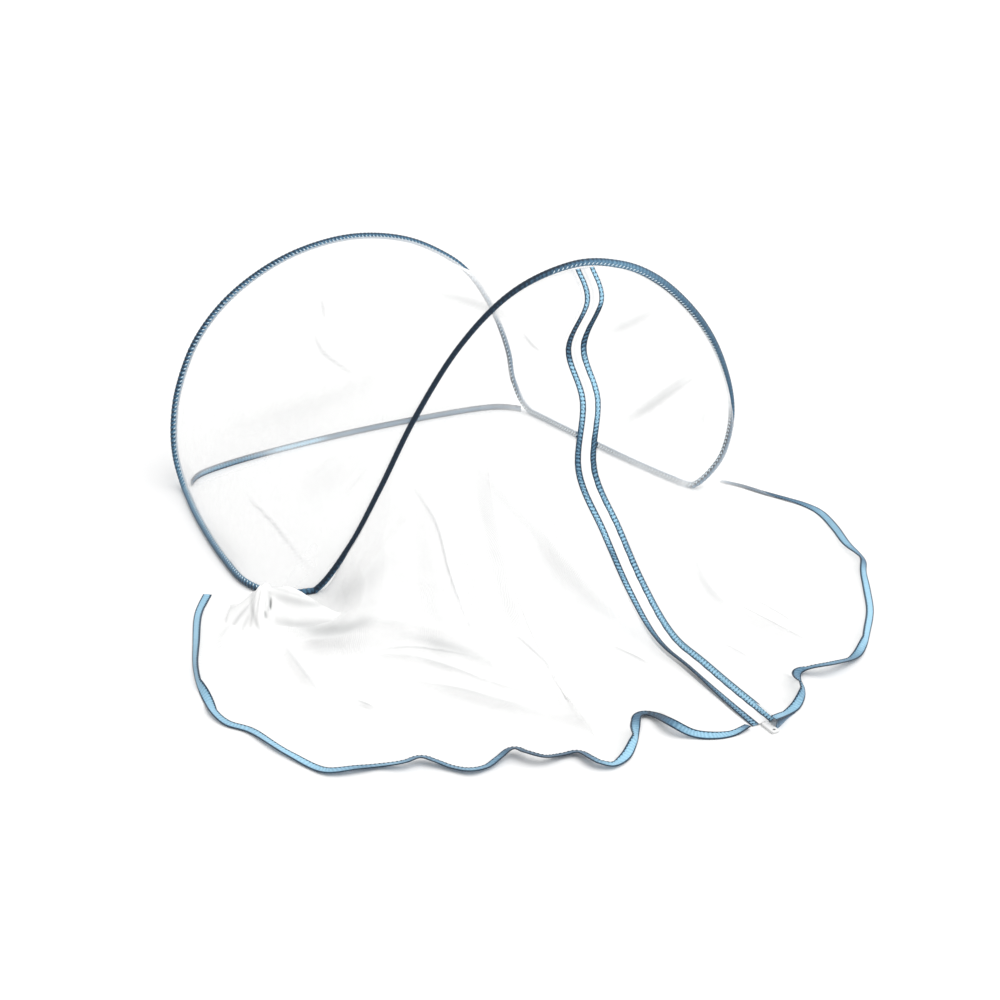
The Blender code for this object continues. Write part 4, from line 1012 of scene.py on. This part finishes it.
EDGE_DARK = 0.0013  # width of a tape's dark edge where it folds over: the doubled cloth there, and painted edge shade
TAPE_CROWN = 0.0007  # height of a tape's middle over its edge line
TAPE_ROLL = 0.0004  # and of the roll along each edge over that
TAPE_UNDER = 0.0004  # depth of its underside
STITCH_HEIGHT = 0.0008  # height of a row of stitches over a tape's edge line
HEM_STITCH_PLACE = 0.84  # share of the hem tape's width at which its stitches lie
HEM_STITCH_HEIGHT = 0.0009


def tape_section(dark):
    """Places across a tape, as shares of its width, close together at the two dark edges."""
    side = np.array([0.0, 0.35 * dark, 0.8 * dark, dark, dark + 0.03, 0.26, 0.38])
    return np.concatenate([side, [0.5], 1 - side[::-1]])


def strip(line, side, normal, place, height):
    """A closed section along a line: its upper side at these heights, and its underside."""
    over = line[:, None] + side[:, None] * place[None, :, None]
    upper = over + normal[:, None] * height[..., None]
    lower = over - normal[:, None] * TAPE_UNDER
    return np.concatenate([upper, lower[:, ::-1]], axis=1)


def tape(name, edge, across, width, tone, mat, towards, pucker_shade=0.07, pucker=0.00015, pitch=0.0046, seed=0.0):
    """A folded tape along an edge line: crowned, faintly puckered and rolled a little along both edges. Its
    attribute shade paints light on the puckers' ridges and down its middle, shade in their troughs and underneath,
    and darkens both edges.
    """
    normal = unit(np.cross(tangents(edge), across))
    normal = normal * np.where(np.sum(normal * towards, axis=1) < 0, -1.0, 1.0)[:, None]
    run = lengths(edge)
    phase = ruche(run, pitch, seed)
    dark = EDGE_DARK / width
    w = tape_section(dark)
    ripple = np.sin(phase[:, None] + 1.4 * (w[None] - 0.5) * math.pi)
    roll = TAPE_ROLL * (np.exp(-((w - 0.06) / 0.05) ** 2) + np.exp(-((w - 0.94) / 0.05) ** 2))
    crown = TAPE_CROWN * np.sin(math.pi * np.clip(w, 0.02, 0.98)) ** 0.4
    place = w * width
    section = strip(edge, across, normal, place, crown + roll + pucker * ripple * np.sin(math.pi * w))
    rows, cols, _ = section.shape
    near_edge = np.minimum(w, 1 - w)
    # painted light and shade: lighter on the puckers' ridges, darker in their troughs, and a painted sheen down the
    # middle
    body = tone[:, None] + pucker_shade * ripple + 0.08 * np.sin(math.pi * w)[None]
    # the dark edges: the doubled cloth where the tape folds over, and painted edge shade
    shade = np.where(near_edge[None] <= dark, 0.04 + 0.12 * tone[:, None], body)
    # the underside, painted darker as shade
    shade = np.concatenate([shade, 0.8 * shade[:, ::-1]], axis=1)
    along_uv = np.repeat(run[:, None], cols, axis=1)
    across_uv = np.repeat(np.concatenate([place, place[::-1]])[None], rows, axis=0)
    made = piece(name + "_cloth", section, capped_faces(rows, cols), mat, (name,),
                 uv=np.stack([along_uv, across_uv], axis=-1), shade=shade)
    return made, normal


THREAD_SIDES = 5


def stitches(name, line, way, normal, mat, pitch=0.0046, length=0.0024, radius=0.00042):
    """A row of short thread stitches that lie on a tape."""
    count = int(lengths(line)[-1] / pitch)
    found = along(np.hstack([line, way, normal]), (np.arange(count) + 0.5) / count)
    centre, ahead, up = found[:, :3], unit(found[:, 3:6]), unit(found[:, 6:])
    side = np.cross(ahead, up)
    turn = math.tau * np.arange(THREAD_SIDES) / THREAD_SIDES
    steps = ((-0.5, 0.25), (-0.28, 1.0), (0.28, 1.0), (0.5, 0.25))
    round_ = (np.cos(turn)[:, None, None] * side + np.sin(turn)[:, None, None] * up) * radius
    rings = np.stack([centre + ahead * length * at + round_ * fat for at, fat in steps])
    verts = rings.transpose(2, 0, 1, 3)
    one = capped_faces(len(steps), THREAD_SIDES)
    faces = [[k * len(steps) * THREAD_SIDES + v for v in face] for k in range(count) for face in one]
    return piece(name, verts, faces, mat)


# ---- the bound ring ----

RING_POINTS = 2600
RING_SIDES = 20
RUCHE_PITCH = 0.0062
SEAM_PLACE = (0.12, 0.45)  # how far in from the middle of the ring its stitches show, back and front hoop
SEAM_ROWS = (12, 20)  # rows between which the seam turns from one to the other
SEAM_SLANT = math.radians(42)  # how far a stitch leans from the ring's own direction
SEAM_DENT = 0.05  # how deep the stitches draw it in, as a share of its radius
SEAM_WIDTH = 0.22  # how wide that is, as a difference of cosines round the ring
SEAM_DARK = 0.10  # painted shade in the seam's dent: how much darker it is there
ROLL_DARK = 0.26  # and along its outer roll and its inner rim: the doubled tape there, and painted edge shade
RING_MIDDLE = (0.03, 0.0, 0.10)  # the inside of the ring faces this X and Z
SEAM_EVEN = 12  # points to each side over which the seam's place is evened out


def even_ring():
    """The ring as evenly spaced points with their rows, its direction and the way to the middle of its hoop."""
    rows = np.arange(len(RING) + 1)[:, None] / RING_STEPS
    closed = np.hstack([np.vstack([RING, RING[:1]]), rows])
    found = along(closed, np.arange(RING_POINTS) / RING_POINTS)
    line, row = found[:, :3], found[:, 3]
    way = unit(np.roll(line, -1, axis=0) - np.roll(line, 1, axis=0))
    middle = line * (0.0, 1.0, 0.0) + RING_MIDDLE
    inner = middle - line
    inner = unit(inner - way * np.sum(inner * way, axis=1)[:, None])
    return line, row, way, inner


def add_ring(mat, thread):
    """Net gathered in a folded tape round the wire, with a dark roll outside and a stitched seam on each side. The
    attribute shade paints light on the puckers' ridges, and shade in their troughs, in the seam and along the roll
    and rim.
    """
    line, row, way, inner = even_ring()
    up = np.cross(way, inner)
    run = lengths(line)
    place, *columns = np.transpose(RING_LOOK)
    tone, depth, thick = (np.interp(row, place, column) for column in columns)
    phase = ruche(run, RUCHE_PITCH, 0.7)
    phase = phase - (phase[-1] - round(phase[-1] / math.tau) * math.tau) * run / run[-1]
    turn = math.tau * np.arange(RING_SIDES) / RING_SIDES
    pucker = np.sin(phase[:, None] + 1.1 * np.sin(turn)[None] + 0.8 * np.cos(turn)[None])
    fine = np.sin(2.3 * phase[:, None] + 2.0 * turn[None])
    away = unit(CAMERA - line)
    seen = np.arctan2(np.sum(away * up, axis=1), np.sum(away * inner, axis=1))
    seam_turn = seen - np.sign(seen) * np.arcsin(np.interp(row, SEAM_ROWS, SEAM_PLACE))
    seam_turn = evened(np.abs(seam_turn), SEAM_EVEN)
    seam = np.exp(-((np.cos(turn)[None] - np.cos(seam_turn)[:, None]) / SEAM_WIDTH) ** 2)
    roll = np.exp(-((1 + np.cos(turn)) / 0.42) ** 4)
    rim = np.exp(-((1 - np.cos(turn)) / 0.22) ** 4)
    size = BINDING_RADIUS * thick[:, None] * (1.0 + depth[:, None] * (0.8 * pucker + 0.2 * fine) - SEAM_DENT * seam)
    section = (line[:, None] + inner[:, None] * (np.cos(turn)[None] * size)[..., None]
               + up[:, None] * (np.sin(turn)[None] * size)[..., None])
    # painted light and shade: lighter on the puckers' ridges, darker in their troughs, in the seam's dent and along
    # the roll and rim
    shade = (tone[:, None] + 2.0 * depth[:, None] * pucker + 0.03 * fine - SEAM_DARK * seam - ROLL_DARK * roll[None]
             - ROLL_DARK * rim[None])
    rows, cols, _ = section.shape
    round_ = np.repeat(turn[None], rows, axis=0) * BINDING_RADIUS
    uv = np.stack([np.repeat(run[:, None], cols, axis=1), round_], axis=-1)
    piece("ring_binding", section, grid_faces(rows, cols, wrap=True, closed=True), mat,
          ("hoop_back", "side_wire_left", "hoop_front", "side_wire_right"), uv=uv, shade=shade)
    for sign, side in ((1, "a"), (-1, "b")):
        angle = seam_turn[:, None]
        normal = inner * np.cos(angle) + up * sign * np.sin(angle)
        around = np.cross(way, normal)
        lean = unit(way * math.cos(SEAM_SLANT) + around * sign * math.sin(SEAM_SLANT))
        seam_line = line + normal * (BINDING_RADIUS * 0.97 * thick)[:, None]
        for part, stretch in (("1", row < DARK_LEG[0]), ("2", row > DARK_LEG[1])):
            stitches("ring_stitches_" + side + part, seam_line[stretch], lean[stretch], normal[stretch], thread,
                     pitch=0.0064, length=0.0040, radius=0.00080)


# ---- hem and base band ----

def add_hem(mat, thread, hems):
    made = []
    for name, (outer, across, tone, _), seed in (("hem_tape_left", hems[0], 1.0), ("hem_tape_right", hems[1], 3.0)):
        cloth, normal = tape(name, outer, across, TAPE_WIDTH, tone, mat, (0.0, 0.0, 1.0), seed=seed)
        line = outer + across * TAPE_WIDTH * HEM_STITCH_PLACE + normal * HEM_STITCH_HEIGHT
        made.append((cloth, stitches(name + "_stitches", line, tangents(outer), normal, thread)))
    return made


CURL_POINTS = 26
CURL_HALF = 0.0006  # half its thickness


def add_curl(mat, hem):
    """Where the right hem arches beside the zip's foot: the tape's back, from its edge down to the floor, painted
    dark as shade.
    """
    edge = hem[0][:CURL_POINTS] - (0.0, 0.0, 0.0004)
    foot = edge * FLAT
    out = unit(np.cross(tangents(foot), UPRIGHT)) * CURL_HALF
    middle = 0.5 * (edge + foot) + out
    section = np.stack([foot, middle, edge, edge - out, middle - 2 * out, foot - out], axis=1)
    # painted shade: darkest at the tape's edge, paler towards the floor
    tone = np.tile((0.50, 0.34, 0.10, 0.10, 0.34, 0.50), (len(section), 1))
    piece("hem_curl", section, capped_faces(*section.shape[:2]), mat, shade=tone)


def add_base_band(mat, thread):
    foot = band_line(500)
    across = np.tile(UPRIGHT, (len(foot), 1))
    tone, = look_along(foot, BAND_LOOK)
    _, normal = tape("base_band", foot, across, BAND_HEIGHT, tone, mat, (0.0, -1.0, 0.0), seed=5.0)
    for part, share in (("low", 0.25), ("high", 0.75)):
        line = foot + across * BAND_HEIGHT * share + normal * STITCH_HEIGHT
        stitches("base_band_stitches_" + part, line, tangents(foot), normal, thread, pitch=0.0056, radius=0.0006)


# ---- zip ----

ZIP_STEPS = 640
TOOTH_PITCH = 0.0032
TOOTH_RISE = 0.0003
COIL_RISE = 0.0009  # height of the coil over the zip's woven tape
COIL_GROOVE = 0.0004  # depth of the groove down its middle
WEAVE_RISE = 0.0004  # height of the woven tape over the zip's line
WEAVE_WAVE = 0.00015  # and of the waves in it
ZIP_LAP = 0.0003  # how far the blue tapes lap over the zip
ZIP_EVEN = 12  # points to each side over which the turn of the zip's tapes is evened out


def add_zip(mat_tape, mat_white, mat_slider, thread):
    line, side, normal = zip_line(ZIP_STEPS)
    path = along(np.hstack([line, side, normal]), np.linspace(0, 1, ZIP_STEPS))
    line, side, normal = path[:, :3], unit(path[:, 3:6]), unit(path[:, 6:])
    normal = normal * np.where(normal[:, 2:] < 0, -1.0, 1.0)
    zip_strip(line, side, normal, mat_white)
    for name, sign, look in (("zip_tape_left", -1, ZIP_LOOK_LEFT), ("zip_tape_right", 1, ZIP_LOOK_RIGHT)):
        near = line + side * sign * (ZIP_WIDTH / 2 - ZIP_LAP)
        wide, tone = look_along(near, look)
        across = turned(near, side * sign, normal, wide, ZIP_TAPE_WIDTH, ZIP_EVEN)
        _, up = tape(name, near, across, ZIP_TAPE_WIDTH, tone, mat_tape, normal, pucker_shade=0.20, seed=3.0 + sign)
        for part, share in (("_stitches_in", 0.27), ("_stitches_out", 0.73)):
            edge = near + across * ZIP_TAPE_WIDTH * share + up * STITCH_HEIGHT
            stitches(name + part, edge, tangents(edge), up, thread, pitch=0.0052, length=0.0020, radius=0.00058)
    add_slider(line, mat_slider)


def zip_strip(line, side, normal, mat):
    """White woven tape with a row of closed coil teeth down its middle."""
    run = lengths(line)
    width = ZIP_WIDTH - GAP
    w = np.linspace(-1, 1, 13)
    rise = WEAVE_RISE + COIL_RISE * np.exp(-(w / 0.30) ** 4) - COIL_GROOVE * np.exp(-(w / 0.07) ** 2)
    teeth = TOOTH_RISE * np.sin(math.tau * run / TOOTH_PITCH)[:, None] * np.exp(-(w / 0.28) ** 4)[None]
    wave = WEAVE_WAVE * np.sin(run * 300.0)[:, None] * (np.abs(w) > 0.6)[None]
    section = strip(line, side, normal, w * width / 2, rise[None] + teeth + wave)
    piece("zip_coil", section, capped_faces(*section.shape[:2]), mat, ("zip",))


SLIDER_POINTS = 48
SLIDER_HOLE = 0.0014
SLIDER_ROUND = 0.0008  # how far its rim is rounded
SLIDER_LIP = 0.0004  # and its hole
SLIDER_SQUARE = 0.30  # how square the tab's corners are


def squared(values):
    return np.sign(values) * np.abs(values) ** SLIDER_SQUARE


def add_slider(line, mat):
    """The end tab: a plate with rounded corners and a small hole near its far end, painted grey round its rim and
    dark in the hole as shade.
    """
    width, length, thick = SLIDER
    way = unit((line[-1] - line[-30]) * FLAT)
    flat = np.cross((0.0, 0.0, 1.0), way)
    start = line[-1] * FLAT + way * GAP
    turn = math.tau * np.arange(SLIDER_POINTS) / SLIDER_POINTS
    eye = np.array([0.0, length * 0.80])
    middle = np.array([0.0, length / 2])
    edge = middle + np.stack([width / 2 * squared(np.cos(turn)), length / 2 * squared(np.sin(turn))], axis=-1)
    aim = unit(edge - eye)
    hole, lip = eye + aim * SLIDER_HOLE, eye + aim * SLIDER_HOLE * 1.35
    top = middle + (edge - middle) * (0.84, 0.93)
    rings = ((hole, SLIDER_LIP), (lip, 0.0), (top, 0.0), (edge, SLIDER_ROUND), (edge, thick - SLIDER_ROUND),
             (top, thick), (lip, thick), (hole, thick - SLIDER_LIP))
    verts = np.vstack([start + ring[:, :1] * flat + ring[:, 1:] * way + (0.0, 0.0, z) for ring, z in rings])
    faces = grid_faces(len(rings), SLIDER_POINTS, wrap=True, closed=True)
    # painted shade: grey round the rim, darkest in the hole as a painted shadow
    shade = np.repeat((1.0, 0.1, 0.0, 0.40, 0.40, 0.0, 0.1, 1.0), SLIDER_POINTS)
    piece("zip_tab", verts, faces, mat, ("zip_slider",), shade=shade)


# ---- the bunch at the front left foot ----

BUNCH_STEPS = (200, 130)
BUNCH_REACH = (0.066, 0.046)  # half its length and depth, with the cloth that runs out from it
BUNCH_TAIL = 0.100  # how far the ridge of cloth runs out to the right
BUNCH_RISE = 0.034
THROAT = (-0.018, -0.004)  # where the pleats meet, along and across the bunch
BUNCH_PLEATS = ((5, 0.0010, 0.4), (9, 0.0008, 1.7), (14, 0.0006, 2.9), (23, 0.0003, 0.8))
WRAP_HALF = 0.0075  # half the width of the fold that is wrapped round it
WRAP_RISE = 0.0050
BUNCH_CLOTH = 0.0026  # height of its cloth where no ridge is
SLIT = (-0.0070, -0.0170, 0.0045, 0.0013)  # slit beside the wrap, dented in and painted dark as shadow: place along and across, half sizes
# its shape along its long way, as rows of (place, value)
BUNCH_MIDDLE = ((-0.066, -0.004), (-0.020, 0), (0.020, -0.004), (0.066, -0.014), (0.100, -0.010))
# the same in shares: half depth of its cloth, height of its ridge and half depth of its ridge
BUNCH_WIDE = ((-0.066, 0.75), (-0.020, 1), (0.020, 0.86), (0.050, 0.46), (0.075, 0.26), (0.100, 0.10))
BUNCH_HIGH = (
    (-0.066, 0.05), (-0.045, 0.5), (-0.02, 1), (0.015, 1.1), (0.03, 0.96), (0.05, 0.58), (0.07, 0.26), (0.1, 0.03),
)
BUNCH_DEEP = ((-0.066, 0.55), (-0.020, 0.80), (0.020, 0.72), (0.050, 0.42), (0.075, 0.24), (0.100, 0.09))
# painted shade: grey strokes over the bunch: (greyness, width in pixels, pixels)
BUNCH_SHADE_STROKES = (
    (0.45, 2.2, ((253, 591), (252, 606), (256, 622), (262, 634))), (0.51, 2, ((268, 590), (270, 602), (268, 612))),
    (0.8, 1.6, ((265, 610), (266, 619))), (0.45, 4.5, ((274, 596), (292, 600), (312, 604), (330, 603))),
    (0.3, 2.2, ((262, 586), (282, 590), (304, 597), (318, 602))),
    (0.5, 5, ((272, 620), (292, 624), (316, 625), (340, 621))), (0.4, 4, ((275, 634), (300, 640), (328, 641))),
    (0.39, 2, ((250, 604), (240, 616), (230, 630), (222, 642))), (0.3, 2, ((250, 614), (243, 628), (238, 642))),
    (0.24, 2, ((246, 598), (232, 606), (220, 618))),
)


def add_knot(mat):
    """A bunch of net drawn together: pleats that run out from a throat, and a fold wrapped over it, with painted
    shade beside the wrap, in the slit and in grey strokes.
    """
    a = np.linspace(-BUNCH_REACH[0], BUNCH_TAIL, BUNCH_STEPS[0])[:, None]
    out = np.linspace(-1, 1, BUNCH_STEPS[1])[None] + 0 * a
    middle, wide, share, deep = (np.interp(a, *np.transpose(table))
                                 for table in (BUNCH_MIDDLE, BUNCH_WIDE, BUNCH_HIGH, BUNCH_DEEP))
    b = out * BUNCH_REACH[1] * wide + middle
    a = a + 0 * b
    off = (b - middle) / (deep * BUNCH_REACH[1])
    body = np.where(np.abs(off) < 1, np.cos(0.5 * math.pi * np.clip(off, -1, 1)) ** 1.3, 0.0)
    rise = BUNCH_RISE * share * body
    from_throat = np.hypot(a - THROAT[0], b - THROAT[1])
    turn = np.arctan2(b - THROAT[1], a - THROAT[0])
    spread = ease(from_throat / 0.016) * ease(body * 3.0)
    for count, height, start in BUNCH_PLEATS:
        rise = rise + height * spread * np.cos(count * turn + start + 24.0 * from_throat)
    across_wrap = a - THROAT[0] - 0.16 * (b + 0.004)
    wrap = np.exp(-(across_wrap / WRAP_HALF) ** 4) * ease((b + 0.040) / 0.010) * ease((0.030 - b) / 0.012)
    rise = rise + wrap * (WRAP_RISE + 0.004 * ease((-b - 0.012) / 0.012)) * (1 + 0.10 * np.sin(900 * across_wrap))
    slit = np.exp(-((a - SLIT[0]) / SLIT[3]) ** 2 - ((b - SLIT[1]) / SLIT[2]) ** 2)
    rise = np.maximum(rise - 0.004 * slit, 0.0)
    # painted shade beside the wrap, and a painted shadow in the slit
    beside_wrap = ease(1 - np.abs(np.abs(across_wrap) - WRAP_HALF * 1.1) / 0.0022)
    grey = np.maximum(0.30 * beside_wrap * ease(wrap * 2 + 0.3) * ease(body * 4), 1.6 * slit)
    edge = ease((a + BUNCH_REACH[0]) / 0.007) * ease((BUNCH_TAIL - a) / 0.010) * ease((1 - np.abs(out)) / 0.10)
    long_way = np.array([math.cos(KNOT_TURN), math.sin(KNOT_TURN), 0.0])
    short_way = np.cross(UPRIGHT, long_way)
    grid = np.array([*KNOT, 0.0]) + a[..., None] * long_way + b[..., None] * short_way
    grid[..., 2] = BUNCH_CLOTH * edge + rise * edge
    rows, cols = BUNCH_STEPS
    top = grid.reshape(-1, 3)
    rim = list(range(cols)) + [i * cols + cols - 1 for i in range(1, rows)]
    rim += [(rows - 1) * cols + j for j in range(cols - 2, -1, -1)] + [i * cols for i in range(rows - 2, 0, -1)]
    verts = np.vstack([top, top[rim] * FLAT])
    faces = grid_faces(rows, cols)
    count = len(rim)
    faces += [[spot, rim[(k + 1) % count], len(top) + (k + 1) % count, len(top) + k] for k, spot in enumerate(rim)]
    faces.append([len(top) + k for k in range(count)])
    # the bunch's painted shade, from its own marks and its strokes
    painted_shade = np.maximum((grey * edge).ravel(), brushed(top, BUNCH_SHADE_STROKES, 0.6))
    piece("knot_bunch", verts, faces, mat, ("knot",), shade=np.append(painted_shade, np.zeros(count)))


# ---- light and floor ----

FLOOR_HALF = 12.0
FLOOR_BELOW = -0.0002


def add_floor():
    mat, tree, shader = new_material("floor", 0.9)
    shader.inputs["Base Color"].default_value = (*FLOOR_WHITE, 1.0)
    mesh = bpy.data.meshes.new("floor")
    corners = [(x * FLOOR_HALF, y * FLOOR_HALF, 0) for x, y in ((-1, -1), (1, -1), (1, 1), (-1, 1))]
    mesh.from_pydata(corners, [], [(0, 1, 2, 3)])
    mesh.materials.append(mat)
    floor = added("floor", mesh)
    floor.location.z = FLOOR_BELOW


def add_light():
    """A bright even studio: light from all round and one wide soft key from the right."""
    world = bpy.data.worlds.new("studio")
    world.use_nodes = True
    sky = world.node_tree.nodes["Background"]
    sky.inputs["Color"].default_value = (1.0, 1.0, 1.0, 1.0)
    sky.inputs["Strength"].default_value = SKY
    bpy.context.scene.world = world
    right, ahead, up = SUN_FROM
    toward = unit(RIGHT * right + unit(AHEAD * FLAT) * ahead + np.array([0.0, 0.0, up]))
    data = bpy.data.lights.new("key", "SUN")
    data.energy, data.angle = SUN, SUN_SPREAD
    key = added("key", data)
    key.rotation_euler = Vector(-toward).to_track_quat("-Z", "Y").to_euler()
    bpy.context.scene.view_settings.view_transform = "Standard"


# ---- all of it ----


def main():
    add_camera()
    net = net_material()
    bunched = plain_material("net_bunched", NET_WHITE, 0.9, 60.0, shaded=True)
    blue = tape_material("tape_cloth", 0.0011)
    dark_thread = plain_material("stitch_thread", THREAD_BLUE, 0.7, 900.0)
    pale_thread = plain_material("stitch_thread_pale", THREAD_PALE, 0.7, 900.0)
    white = plain_material("zip_cloth", ZIP_WHITE, 0.6, 700.0)
    tab = plain_material("zip_tab_plastic", TAB_WHITE, 0.35, 200.0, shaded=True)
    add_floor()
    add_light()
    hems = (shaped_hem(HEM_LEFT, LEFT_LEAF, HEM_LOOK_LEFT), shaped_hem(HEM_RIGHT, RIGHT_LEAF, HEM_LOOK_RIGHT))
    nets = add_nets(net, *hems)
    add_ring(blue, pale_thread)
    hem = add_hem(blue, dark_thread, hems)
    add_base_band(blue, dark_thread)
    add_curl(blue, hems[1])
    add_zip(blue, white, tab, dark_thread)
    add_knot(bunched)


main()
